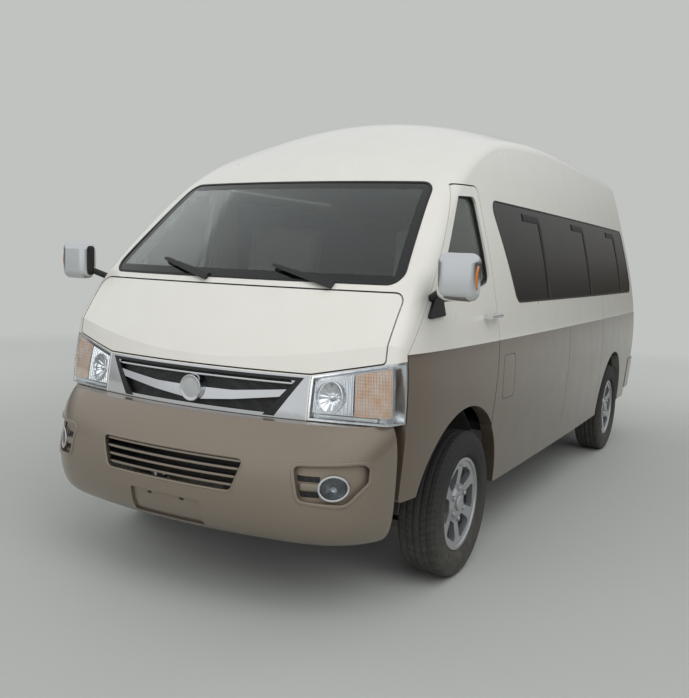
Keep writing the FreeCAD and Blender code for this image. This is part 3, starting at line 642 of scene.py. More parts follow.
def make_mesh(
    name: str, points: np.ndarray, faces: Sequence, smooth: bool = True, turn: bool = True
) -> Piece:
    """Puts points and faces into a new object at the origin.

    Args:
        name: the object's name.
        points: n by 3 array of places in metres.
        faces: point numbers of each face.
        smooth: whether faces shade smoothly.
        turn: whether the faces are turned outwards afterwards, for a closed piece.

    Returns:
        The new object.
    """
    mesh = bpy.data.meshes.new(name)
    mesh.from_pydata(np.asarray(points).tolist(), [], [list(map(int, f)) for f in faces])
    if turn:
        shell = bmesh.new()
        shell.from_mesh(mesh)
        bmesh.ops.recalc_face_normals(shell, faces=shell.faces)
        shell.to_mesh(mesh)
        shell.free()
    mesh.polygons.foreach_set("use_smooth", np.full(len(mesh.polygons), smooth))
    mesh.update()
    made = bpy.data.objects.new(name, mesh)
    bpy.context.scene.collection.objects.link(made)
    return made


def grid_faces(rows: int, columns: int, wrap_rows: bool = False, wrap_columns: bool = False) -> np.ndarray:
    """Quads of a grid of rows by columns points, joined round where asked.

    Args:
        rows: how many points the grid has one way.
        columns: how many it has the other way, which runs first in the numbering.
        wrap_rows: whether the last row joins the first.
        wrap_columns: whether the last column joins the first.

    Returns:
        n by 4 array of point numbers.
    """
    r = np.arange(rows if wrap_rows else rows - 1)
    c = np.arange(columns if wrap_columns else columns - 1)
    rr, cc = np.meshgrid(r, c, indexing="ij")
    r1, c1 = (rr + 1) % rows, (cc + 1) % columns
    quads = np.stack([rr * columns + cc, r1 * columns + cc, r1 * columns + c1, rr * columns + c1], axis=-1)
    return quads.reshape(-1, 4)


def merged(parts: Sequence[Shape]) -> Shape:
    """Joins several sets of points and faces into one set.

    Args:
        parts: points and faces of each.

    Returns:
        All the points, and the faces with their numbers moved on.
    """
    points, faces, start = [], [], 0
    for some_points, some_faces in parts:
        points.append(some_points)
        faces += [[int(i) + start for i in f] for f in some_faces]
        start += len(some_points)
    return np.concatenate(points), faces


def unit(vectors: np.ndarray) -> np.ndarray:
    """Each vector made one long."""
    return vectors / np.linalg.norm(vectors, axis=-1, keepdims=True)


def round_section(radius: float, sides: int = 10) -> np.ndarray:
    """A circle as a cross-section."""
    angle = np.linspace(0, 2 * math.pi, sides, endpoint=False)
    return np.stack([np.cos(angle), np.sin(angle)], axis=-1) * radius


def squared(sides: int, start: float = 0.0) -> np.ndarray:
    """A superellipse of power four that reaches one each way.

    Each coordinate is the square root of the cosine's or the sine's size, with its sign.

    Args:
        sides: how many points.
        start: angle of the first point.

    Returns:
        n by 2 array.
    """
    angle = np.linspace(0, 2 * math.pi, sides, endpoint=False) + start
    c, s = np.cos(angle), np.sin(angle)
    return np.stack([np.sign(c) * np.abs(c) ** 0.5, np.sign(s) * np.abs(s) ** 0.5], axis=-1)


def flat_section(width: float, height: float, sides: int = 12) -> np.ndarray:
    """A flat rounded bar as a cross-section, wide along the surface and low across it."""
    return squared(sides, math.pi / sides) * [width / 2, height / 2]


def level(start: float, end: float, height: float, count: int) -> np.ndarray:
    """Even points between two places at one height."""
    return np.stack([np.linspace(start, end, count), np.full(count, height)], axis=-1)


def circle(middle: Sequence[float], reach: Pair, count: int = 48) -> np.ndarray:
    """Points round a circle, or round an ellipse whose half width and half height differ."""
    turn = np.linspace(0, 2 * math.pi, count, endpoint=False)
    return np.stack([middle[0] + reach[0] * np.cos(turn), middle[1] + reach[1] * np.sin(turn)], axis=-1)


def capped(rings: np.ndarray) -> Shape:
    """A stack of rings of points, each joined to the next, with the first and the last closed.

    Args:
        rings: array of rings by points by 3.

    Returns:
        Points and faces.
    """
    count, sides = rings.shape[:2]
    faces = grid_faces(count, sides, wrap_columns=True).tolist()
    return rings.reshape(-1, 3), faces + [list(range(sides)), list(range((count - 1) * sides, count * sides))]


def plate(front: np.ndarray, back: np.ndarray) -> Shape:
    """A closed plate between two grids of points, joined round the rim.

    Args:
        front: rows by columns by 3 array of places.
        back: another of the same size behind it.

    Returns:
        Points and faces.
    """
    rows, columns = front.shape[:2]
    count = rows * columns
    quads = grid_faces(rows, columns)
    sides = [
        np.arange(columns),
        np.arange(1, rows) * columns + columns - 1,
        (rows - 1) * columns + np.arange(columns - 2, -1, -1),
        np.arange(rows - 2, 0, -1) * columns,
    ]
    edge = np.concatenate(sides)
    after = np.roll(edge, -1)
    rim = np.stack([edge, after, after + count, edge + count], axis=-1)
    faces = quads.tolist() + (quads[:, ::-1] + count).tolist() + rim.tolist()
    return np.concatenate([front.reshape(-1, 3), back.reshape(-1, 3)]), faces


def swept(path: np.ndarray, normals: np.ndarray, section: np.ndarray, closed: bool = False) -> Shape:
    """Carries a cross-section along a path, each ring square to the path with its height along the normal.

    Args:
        path: n by 3 array of centre points.
        normals: n by 3 array, or one direction, that the section's height follows.
        section: m by 2 array, width and height.
        closed: whether the path ends where it starts.

    Returns:
        Points and faces.
    """
    if closed:
        along = np.roll(path, -1, axis=0) - np.roll(path, 1, axis=0)
    else:
        along = np.gradient(path, axis=0)
    along = unit(along)
    normals = np.broadcast_to(normals, path.shape)
    side = unit(np.cross(along, normals))
    up = np.cross(side, along)
    rings = path[:, None] + side[:, None] * section[None, :, :1] + up[:, None] * section[None, :, 1:]
    faces = grid_faces(len(path), len(section), wrap_rows=closed, wrap_columns=True).tolist()
    if not closed:
        last = (len(path) - 1) * len(section)
        faces.append(list(range(len(section))))
        faces.append(list(range(last, last + len(section)))[::-1])
    return rings.reshape(-1, 3), faces


def rounded(corners: Sequence, step: float = 0.012, closed: bool = True) -> np.ndarray:
    """Outline through corners, each cut by an arc that touches both of its sides, in even steps.

    Args:
        corners: two coordinates and a radius each.
        step: distance between points of the result.
        closed: whether it returns to its start.

    Returns:
        n by 2 array.
    """
    flat = np.array(corners, float)
    runs = []
    for i, (a, b, radius) in enumerate(flat):
        here = np.array([a, b])
        if radius < 1e-4 or (not closed and i in (0, len(flat) - 1)):
            runs.append(here[None])
            continue
        back = unit(flat[i - 1, :2] - here)
        ahead = unit(flat[(i + 1) % len(flat), :2] - here)
        half = math.acos(np.clip(back @ ahead, -1, 1)) / 2
        centre = here + unit(back + ahead) * radius / math.sin(half)
        first = here + back * radius / math.tan(half) - centre
        last = here + ahead * radius / math.tan(half) - centre
        t = np.linspace(0, 1, 9)[:, None]
        runs.append(centre + unit(first * (1 - t) + last * t) * radius)
    line = np.concatenate(runs + ([runs[0][:1]] if closed else []))
    length = np.concatenate([[0], np.cumsum(np.linalg.norm(np.diff(line, axis=0), axis=1))])
    even = np.linspace(0, length[-1], max(int(length[-1] / step), 4))
    even = even[:-1] if closed else even
    return np.stack([np.interp(even, length, line[:, k]) for k in (0, 1)], axis=-1)


def put(name: str, shape: Shape, finish: str, body: str = "body") -> Piece:
    """Makes a piece with its finish and its body.

    Args:
        name: the piece's name.
        shape: its points and faces.
        finish: name of a finish that is made.
        body: name of the body that it moves with.

    Returns:
        The new piece.
    """
    piece = make_mesh(name, *shape)
    piece.data.materials.append(MADE[finish])
    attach(piece, body)
    LOG.info("piece %s rides on %s", piece.name, body)
    return piece


@dataclass(frozen=True)
class Strip:
    """Flat cross-section of trim: its width, its height, and how far its middle is lifted off the panel."""

    width: float
    height: float
    lift: float

    def section(self) -> np.ndarray:
        """A flat rounded bar."""
        return flat_section(self.width, self.height)


@dataclass(frozen=True)
class Wire:
    """Round cross-section of trim: its radius, and how far its middle is lifted off the panel."""

    radius: float
    lift: float
    sides: int = 8

    def section(self) -> np.ndarray:
        """A circle."""
        return round_section(self.radius, self.sides)


class View(Enum):
    """The side that a panel is looked at from."""

    FRONT = "front"
    BACK = "back"
    LEFT = "left"
    RIGHT = "right"
    CORNER_LEFT = "corner left"
    CORNER_RIGHT = "corner right"


@dataclass
class Panel:
    """The outer surface of some CAD nodes as one smooth function of two coordinates, for trim on it.

    From the front or back the coordinates are y and z, and from a side x and z. From a corner they are
    the angle about an upright line inside the corner, and z.
    """

    nodes: tuple[str, ...]
    view: View
    low: Pair
    high: Pair
    power: int = 4
    far: float = 4.0
    corner_x: float = 2.05
    corner_y: float = 0.55
    spots: int = 19
    stray: float = 0.006
    stray_times: float = 4.0
    factors: np.ndarray = field(default_factory=lambda: np.zeros(0))

    def place(self, a: np.ndarray, b: np.ndarray, depth: np.ndarray) -> np.ndarray:
        """Point at two coordinates and a distance out from the middle.

        Args:
            a: first coordinate.
            b: second coordinate.
            depth: distance out from the middle.

        Returns:
            Array of places, three numbers each.
        """
        a, b, depth = np.broadcast_arrays(a, b, depth)
        if self.view is View.FRONT:
            return np.stack([depth, a, b], axis=-1)
        if self.view is View.BACK:
            return np.stack([-depth, a, b], axis=-1)
        if self.view is View.LEFT:
            return np.stack([a, depth, b], axis=-1)
        if self.view is View.RIGHT:
            return np.stack([a, -depth, b], axis=-1)
        side = 1 if self.view is View.CORNER_LEFT else -1
        x = self.corner_x + depth * np.cos(a)
        y = side * (self.corner_y + depth * np.sin(a))
        return np.stack([x, y, b], axis=-1)

    def terms(self, a: np.ndarray, b: np.ndarray) -> np.ndarray:
        """Powers of both coordinates, scaled to run from minus one to one.

        Each term is one power of the first times one of the second, their sum at most the panel's power.

        Args:
            a: first coordinate.
            b: second coordinate.

        Returns:
            Array with one number for each term at its end.
        """
        u = (np.asarray(a, float) - self.low[0]) / (self.high[0] - self.low[0]) * 2 - 1
        v = (np.asarray(b, float) - self.low[1]) / (self.high[1] - self.low[1]) * 2 - 1
        pairs = [(i, j) for i in range(self.power + 1) for j in range(self.power + 1 - i)]
        return np.stack([u**i * v**j for i, j in pairs], axis=-1)

    def fit(self, frame: dict) -> "Panel":
        """Measures the nodes on a coarse grid and fits the powers to it, three times with fewer strays.

        Rays from outside give the depth at each spot, and least squares give the factors. Spots that miss
        the fit by much, such as those that fell into a gap, are left out of the next fit.


        Returns:
            The panel itself.
        """
        points, faces = [], []
        for name in self.nodes:
            mesh = frame["nodes"][name].data
            start = len(points)
            points += [v.co for v in mesh.vertices]
            faces += [[i + start for i in p.vertices] for p in mesh.polygons]
        tree = BVHTree.FromPolygons(points, faces)
        spots = [np.linspace(self.low[k], self.high[k], self.spots) for k in (0, 1)]
        a, b = (g.ravel() for g in np.meshgrid(*spots, indexing="ij"))
        starts = self.place(a, b, np.array(self.far))
        aims = unit(self.place(a, b, np.array(0.0)) - starts)
        found = [tree.ray_cast(Vector(s), Vector(d))[3] for s, d in zip(starts, aims)]
        depth = np.array([np.nan if f is None else self.far - f for f in found])
        keep = ~np.isnan(depth)
        for _ in range(3):
            system = self.terms(a[keep], b[keep])
            self.factors = np.linalg.lstsq(system, depth[keep], rcond=None)[0]
            miss = np.abs(self.terms(a, b) @ self.factors - np.nan_to_num(depth, nan=1e3))
            keep = miss < max(self.stray, float(np.median(miss[keep])) * self.stray_times)
        worst = 1000 * miss[keep].max()
        text = "panel %s from %s: %d of %d spots, worst %.1f mm"
        LOG.info(text, self.nodes[0], self.view.value, keep.sum(), len(a), worst)
        return self

    def lay(self, a: np.ndarray, b: np.ndarray, lift: object = 0.0) -> tuple[np.ndarray, np.ndarray]:
        """Points on the surface lifted along its normal.

        Args:
            a: first coordinate.
            b: second coordinate.
            lift: distance out from the surface, one or an array.

        Returns:
            The points and the outward normals.
        """
        a, b = np.asarray(a, float), np.asarray(b, float)
        small = 1e-3

        def at(p: np.ndarray, q: np.ndarray) -> np.ndarray:
            return self.place(p, q, self.terms(p, q) @ self.factors)

        base = at(a, b)
        normal = unit(np.cross(at(a + small, b) - base, at(a, b + small) - base))
        out = self.place(a, b, np.array(1.0)) - self.place(a, b, np.array(0.0))
        normal = normal * np.sign(np.sum(normal * out, axis=-1, keepdims=True))
        return base + normal * np.asarray(lift)[..., None], normal

    def bar(self, outline: np.ndarray, strip: Strip | Wire, closed: bool = False) -> Shape:
        """Points and faces of a bar that lies on the surface along an outline."""
        points, normals = self.lay(outline[:, 0], outline[:, 1], strip.lift)
        return swept(points, normals, strip.section(), closed)

    def trim(
        self,
        name: str,
        finish: str,
        line: np.ndarray,
        strip: Strip | Wire,
        body: str = "body",
        closed: bool = False,
    ) -> None:
        """Puts a piece made of one bar on the surface."""
        put(name, self.bar(line, strip, closed), finish, body)

    def sheet(self, a: np.ndarray, b: np.ndarray, lift: np.ndarray, thick: float) -> Shape:
        """Closed plate on the surface over a grid: a front at the given lift and a back behind it."""
        front, normals = self.lay(a, b, lift)
        return plate(front, front - normals * thick)


@dataclass
class Studio:
    """Camera at the photograph's angle, pale floor and soft lights."""

    eye: tuple[float, float, float] = (5.031, 2.151, 1.395)
    yaw: float = 208.98
    pitch: float = -6.27
    roll: float = 2.14
    lens_mm: float = 42.06
    floor: str = "#b4b6b3"
    floor_half: float = 60.0
    floor_drop: float = 0.0005
    sky: str = "#d6d9d8"
    sky_strength: float = 0.6
    backdrop: str = "#c0c3c0"
    horizon: str = "#57534e"
    zenith: str = "#e2e5e6"
    dawn: Pair = (0.04, 0.40)
    ahead: float = 0.45
    lamp_aim: tuple[float, float, float] = (0.5, 0.0, 1.0)

    def build(self) -> None:
        """Makes the camera first, then the floor, the sky and the lamps."""
        self.camera()
        self.ground()
        self.world()
        self.lamp("key", (4.5, 4.0, 5.5), 6.0, 250.0)
        self.lamp("front", (8.0, -2.0, 3.0), 5.0, 120.0)
        self.lamp("back", (-6.0, 2.0, 5.0), 6.0, 160.0)
        self.lamp("right", (0.0, -6.5, 4.0), 6.0, 130.0)
        bpy.context.scene.view_settings.view_transform = "Standard"

    def camera(self) -> None:
        """Turns the camera by yaw, pitch and roll of the measured view."""
        yaw, pitch, roll = (math.radians(a) for a in (self.yaw, self.pitch, self.roll))
        look = Vector((math.cos(pitch) * math.cos(yaw), math.cos(pitch) * math.sin(yaw), math.sin(pitch)))
        right = look.cross(Vector((0, 0, 1))).normalized()
        up = right.cross(look)
        turned_right = right * math.cos(roll) + up * math.sin(roll)
        turned_up = up * math.cos(roll) - right * math.sin(roll)
        data = bpy.data.cameras.new("camera")
        data.sensor_width = 36.0
        data.lens = self.lens_mm
        data.clip_end = 100.0
        camera = bpy.data.objects.new("camera", data)
        turn = Matrix((turned_right, turned_up, -look)).transposed().to_4x4()
        camera.matrix_world = Matrix.Translation(self.eye) @ turn
        bpy.context.scene.collection.objects.link(camera)
        bpy.context.scene.camera = camera

    def ground(self) -> None:
        """A wide flat floor."""
        corners = [[-1, -1, 0], [1, -1, 0], [1, 1, 0], [-1, 1, 0]]
        points = np.array(corners) * self.floor_half - [0, 0, self.floor_drop]
        floor = make_mesh("floor_stage", points, [[0, 1, 2, 3]], smooth=False, turn=False)
        colours = {"colour": self.floor, "shade": self.floor, "backdrop": self.backdrop}
        paint = StageFloor("painted_floor", roughness=0.75, grain_mm=8.0, **colours)
        floor.data.materials.append(paint.build())

    def world(self) -> None:
        """An even pale sky as light, a plain backdrop for the camera, and a horizon for what mirrors.

        That horizon is darker at the sides and behind than ahead.
        """
        world = bpy.data.worlds.new("sky")
        nodes = Nodes(world, "Background", "Generated")
        nodes.surface({"Color": linear(self.sky), "Strength": self.sky_strength})
        seen = nodes.add("Background", {"Color": linear(self.backdrop)}).outputs[0]
        path = nodes.add("LightPath").outputs
        direct = nodes.calc("ADD", path["Is Camera Ray"], path["Is Transmission Ray"], clamp=True)
        plain_sky = nodes.add("MixShader", {0: direct, 1: nodes.shader.outputs[0], 2: seen}).outputs[0]
        aim = nodes.add("SeparateXYZ", {"Vector": nodes.place}).outputs
        open_sky = nodes.calc("MULTIPLY_ADD", nodes.calc("MAXIMUM", aim["X"], 0.0), self.ahead, aim["Z"])
        tint = nodes.mixed(nodes.ramp(open_sky, *self.dawn), self.horizon, self.zenith)
        mirrored = nodes.add("Background", {"Color": tint}).outputs[0]
        whole = nodes.add("MixShader", {0: path["Is Glossy Ray"], 1: plain_sky, 2: mirrored}).outputs[0]
        nodes.feed(nodes.tree.nodes["World Output"], {"Surface": whole})
        bpy.context.scene.world = world

    def lamp(self, name: str, place: tuple[float, float, float], size: float, power: float) -> None:
        """A square area lamp that faces the vehicle and doesn't show in chrome, glass or paint.

        Args:
            name: the lamp's name.
            place: where it hangs.
            size: length of its side.
            power: its power in watts.
        """
        data = bpy.data.lights.new(name, "AREA")
        data.size = size
        data.energy = power
        lamp = bpy.data.objects.new(name, data)
        lamp.location = place
        lamp.visible_glossy = False
        lamp.rotation_euler = (Vector(self.lamp_aim) - Vector(place)).to_track_quat("-Z", "Y").to_euler()
        bpy.context.scene.collection.objects.link(lamp)


@dataclass
class Tyre:
    """Road tyre: the solid's own outline, with grooves round the tread and slanted cuts across it."""

    half: float = 0.0975
    radius: float = TYRE_R
    bead: float = 0.2023
    bead_half: float = 0.05
    at: tuple[float, ...] = (0, 0.45, 0.62, 0.8, 0.93, 1.0)
    drop: tuple[float, ...] = (0.0, 0.0, 0.014, 0.05, 0.100, 0.1247)
    pinch: tuple[float, ...] = (1.0, 1.0, 1.0, 1.0, 0.94, 0.68)
    groove_at: tuple[float, ...] = (-0.046, -0.016, 0.016, 0.046)
    groove_half: float = 0.0035
    groove_deep: float = 0.0065
    tread_drop: float = 0.012
    cut_deep: float = 0.0045
    cut_share: float = 0.17
    cut_from: float = 0.022
    slant: float = 14.0
    cuts: int = 66
    rib_high: float = 0.0008
    rib_mm: float = 2.4
    rib_drop: float = 0.02
    turns: int = 396

    def outline(self) -> np.ndarray:
        """Width and radius from one bead over the tread to the other, flat on the road.

        The points crowd towards both beads by a power curve; how far each lies below the tread, and how
        far in, are read from tables by straight lines.

        Returns:
            n by 2 array.
        """
        side = np.linspace(-1, 1, 91)
        wide = self.half * np.sign(side) * (1 - (1 - np.abs(side)) ** 2.2)
        drop, pinch = (np.interp(np.abs(side), self.at, table) for table in (self.drop, self.pinch))
        return np.stack([np.clip(wide * pinch, -self.half, self.half), self.radius - drop], axis=-1)

    def build(self, corner: Corner) -> None:
        """Turns the outline round the axle and sinks the grooves and cuts into the tread.

        Grooves are bands of width at one depth. Cuts fall where the angle, turned on by the slant with the
        width, lies in the first part of its step. The side walls have fine ribs, a sine of the radius.

        Args:
            corner: the wheel that it belongs to.
        """
        wide, high = self.outline().T
        angle = np.linspace(0, 2 * math.pi, self.turns, endpoint=False)
        deep = np.zeros((self.turns, len(wide)))
        for at in self.groove_at:
            deep = np.where(np.abs(wide - at) < self.groove_half, self.groove_deep, deep)
        on_tread = high > self.radius - self.tread_drop
        phase = angle[:, None] * self.cuts / (2 * math.pi) + wide * self.slant * np.sign(wide)
        cut = (phase % 1.0 < self.cut_share) & (np.abs(wide) > self.cut_from) & on_tread
        deep = np.maximum(deep * on_tread, cut * self.cut_deep)
        ribs = self.rib_high * np.sin(high * 1000 / self.rib_mm) * (high < self.radius - self.rib_drop)
        outer = self.turned(angle, wide + ribs * np.sign(wide), high - deep)
        inner = self.turned(angle, np.array([self.bead_half, -self.bead_half]), np.full(2, self.bead))
        whole = np.concatenate([outer, inner], axis=1)
        points = whole.reshape(-1, 3) + [corner.x, corner.side * TRACK_Y, TYRE_R]
        faces = grid_faces(self.turns, whole.shape[1], wrap_rows=True, wrap_columns=True)
        piece = put(f"tread_{corner.value}", (points, faces), "tyre_rubber", f"wheel_{corner.value}")
        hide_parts(f"tyre_{corner.value}")

    def turned(self, angle: np.ndarray, wide: np.ndarray, radius: np.ndarray) -> np.ndarray:
        """Points round the axle, a row for each angle."""
        along, up = np.sin(angle)[:, None] * radius, np.cos(angle)[:, None] * radius
        return np.stack([along, np.broadcast_to(wide, along.shape), up], axis=-1)


@dataclass
class WheelTrim:
    """Six wheel nuts, the hub cap and the valve of one wheel."""

    circle: float = 0.070
    nut: float = 0.0115
    nut_from: float = 0.050
    nut_to: float = 0.076
    nut_steps: tuple[float, ...] = (0.0, 0.0, 0.7, 0.9, 1.0)
    nut_wide: tuple[float, ...] = (1.25, 1.25, 1.0, 0.98, 0.6)
    cap: float = 0.036
    cap_from: float = 0.064
    cap_to: float = 0.080
    cap_dome: float = 0.010
    valve: tuple = ((0.0, 0.060, 0.176), (0.0, 0.072, 0.174), (0.0, 0.088, 0.171))

    def build(self, corner: Corner) -> None:
        """Nuts are six-sided bars with a rounded top; the cap is a low dome turned about the axle.

        The cap's radius goes with the root of a cosine while its height goes with the sine.

        Args:
            corner: the wheel that it belongs to.
        """
        side = corner.side
        angle = np.linspace(0, 2 * math.pi, 6, endpoint=False)
        ring = np.stack([np.cos(angle), np.zeros(6), np.sin(angle)], axis=-1) * self.nut
        height = self.nut_from + (self.nut_to - self.nut_from) * np.array(self.nut_steps)
        parts = []
        for turn in np.radians(60 * np.arange(6)):
            centre = np.array([math.sin(turn), 0, math.cos(turn)]) * self.circle
            rows = ring[None] * np.array(self.nut_wide)[:, None, None] + centre
            rows[:, :, 1] = side * height[:, None]
            parts.append(capped(rows))
        bend = np.linspace(0, 1, 9)[:-1] * math.pi / 2
        radius = np.append(self.cap, self.cap * np.cos(bend) ** 0.5)[:, None]
        height = np.append(self.cap_from, self.cap_to - self.cap_dome * (1 - np.sin(bend)))[:, None]
        angle = np.linspace(0, 2 * math.pi, 36, endpoint=False)
        across = np.broadcast_to(side * height, (9, 36))
        parts.append(capped(np.stack([radius * np.cos(angle), across, radius * np.sin(angle)], axis=-1)))
        stem = np.array(self.valve) * [1, side, 1]
        parts.append(swept(stem, np.array([1.0, 0, 0]), round_section(0.004, 8)))
        points, faces = merged(parts)
        points = points + [corner.x, side * TRACK_Y, TYRE_R]
        put(f"wheel_trim_{corner.value}", (points, faces), "silver_wheel_paint", f"wheel_{corner.value}")


@dataclass
class HeadLamp:
    """What shows through one head lamp's lens: reflector, bowl, bulb, turn lamp and small lights."""

    side: Side
    bowl_at: Pair = (0.20, 0.866)
    bowl: float = 0.060
    bowl_deep: float = 0.024
    bowl_angle: float = 0.155
    bulb: float = 0.015
    bulb_high: float = 0.020
    facet: float = 0.0015
    facets: int = 12
    behind: float = 0.013
    low_z: float = 0.800
    reflector: Pair = (-0.02, 0.49)
    turn_lamp: Pair = (0.505, 0.92)
    lights: Pair = (0.0, 0.76)
    lights_z: Pair = (0.784, 0.797)
    top_z: float = 0.922
    top_y: float = 0.535
    top_rise: float = 0.2165
    top_seen_z: float = 0.86
    shell: float = 0.002
    lens_thick: float = 0.003
    ring_wire: float = 0.003
    ring_out: float = 0.005
    ring_below_top: float = 0.004
    turn_behind: float = -0.012
    turn_column: Pair = (0.03, 0.003)
    turn_row: Pair = (0.013, 0.002)
    lights_behind: float = -0.011
    light_dome: float = 0.004
    light_turns: float = 60.0
    light_high: float = 0.013
    flute_out: float = 0.004
    flute_turns: float = 140.0

    def panel(self, frame: dict) -> Panel:
        """The lens seen from round the corner of the nose."""
        view = View.CORNER_LEFT if self.side is Side.LEFT else View.CORNER_RIGHT
        return Panel(("headlamp_lenses",), view, (0.0, 0.785), (0.95, 0.93), power=6, far=1.0).fit(frame)

    def top(self, panel: Panel, a: np.ndarray) -> np.ndarray:
        """Height of the lamp's sloping top edge at an angle, kept inside the case.

        The height rises in a straight line with the distance from the middle plane.

        Args:
            panel: the lens.
            a: angles round the corner.

        Returns:
            Array of heights.
        """
        z = np.full_like(a, self.top_seen_z)
        across = panel.place(a, z, panel.terms(a, z) @ panel.factors)[..., 1]
        return self.top_z + (np.abs(across) - self.top_y) * self.top_rise

    def region(self, panel: Panel, ends: Pair, across: int, up: int) -> tuple[np.ndarray, np.ndarray]:
        """Grid of angles and heights between two angles, from the lamp's foot to its sloping top.

        Args:
            panel: the lens.
            ends: first and last angle.
            across: how many angles.
            up: how many heights.

        Returns:
            Angles and heights of the grid.
        """
        a = np.linspace(*ends, across)
        t = np.linspace(0, 1, up)
        high = self.top(panel, a)
        heights = self.low_z + (high[:, None] - self.low_z) * t[None]
        return np.broadcast_to(a[:, None], heights.shape).copy(), heights

    def build(self, frame: dict) -> None:
        """Lays the reflector, the turn lamp and the row of small lights behind the lens.

        The turn lamp has columns and rows of domes, each the size of a sine; the small lights are one row.
        """
        panel = self.panel(frame)
        word = self.side.word
        sheet = panel.sheet(*self.bowled(panel), self.shell)
        put(f"lamp_reflector_{word}", sheet, "silvered_reflector")
        rim = circle(self.bowl_at, (self.bowl_angle, self.bowl))
        rim[:, 1] = np.minimum(rim[:, 1], self.top(panel, rim[:, 0]) - self.ring_below_top)
        wire = Wire(self.ring_wire, self.ring_out - self.behind)
        panel.trim(f"lamp_ring_{word}", "chromed_plastic", rim, wire, closed=True)
        a, z = self.region(panel, self.turn_lamp, 150, 60)
        (wide, out), (tall, row_out) = self.turn_column, self.turn_row
        upright = np.abs(np.sin((a - self.turn_lamp[0]) * math.pi / wide))
        lift = self.turn_behind + out * upright + row_out * np.abs(np.sin(z * math.pi / tall))
        put(f"turn_lamp_{word}", panel.sheet(a, z, lift, self.lens_thick), "turn_lamp_lens")
        low, high = self.lights_z
        a, z = np.meshgrid(np.linspace(*self.lights, 190), np.linspace(low, high, 7), indexing="ij")
        row = self.light_dome * np.abs(np.sin(a * self.light_turns))
        lift = self.lights_behind + row * np.sin((z - low) / self.light_high * math.pi)
        sheet = panel.sheet(a, z, lift, self.lens_thick)
        put(f"small_lights_{word}", sheet, "frosted_light_plastic")

    def bowled(self, panel: Panel) -> tuple[np.ndarray, np.ndarray, np.ndarray]:
        """Grid of the reflector and its lift: a faceted bowl round a domed bulb, with flutes beside it.

        The bowl's depth falls with the square of the distance from its middle, with a cosine of the
        direction as facets. The bulb is half a sphere. The flutes are a sine of the angle.

        Args:
            panel: the lens.

        Returns:
            Angles, heights and lift.
        """
        a, z = self.region(panel, self.reflector, 130, 70)
        front, _ = panel.lay(a, z)
        centre, _ = panel.lay(*(np.array([v]) for v in self.bowl_at))
        away = front - centre
        far = np.linalg.norm(away[..., 1:], axis=-1)
        facet = self.facet * np.cos(np.arctan2(away[..., 2], away[..., 1]) * self.facets) * (far / self.bowl)
        bowl = -self.behind - self.bowl_deep * (1 - (far / self.bowl) ** 2) + facet
        bulb = np.sqrt(np.clip(1 - (far / self.bulb) ** 2, 0, 1))
        bowl = np.where(far < self.bulb, -self.behind - self.bowl_deep + self.bulb_high * bulb, bowl)
        flutes = -self.behind + self.flute_out + self.facet * np.sin(a * self.flute_turns)
        return a, z, np.where(far < self.bowl, bowl, flutes)


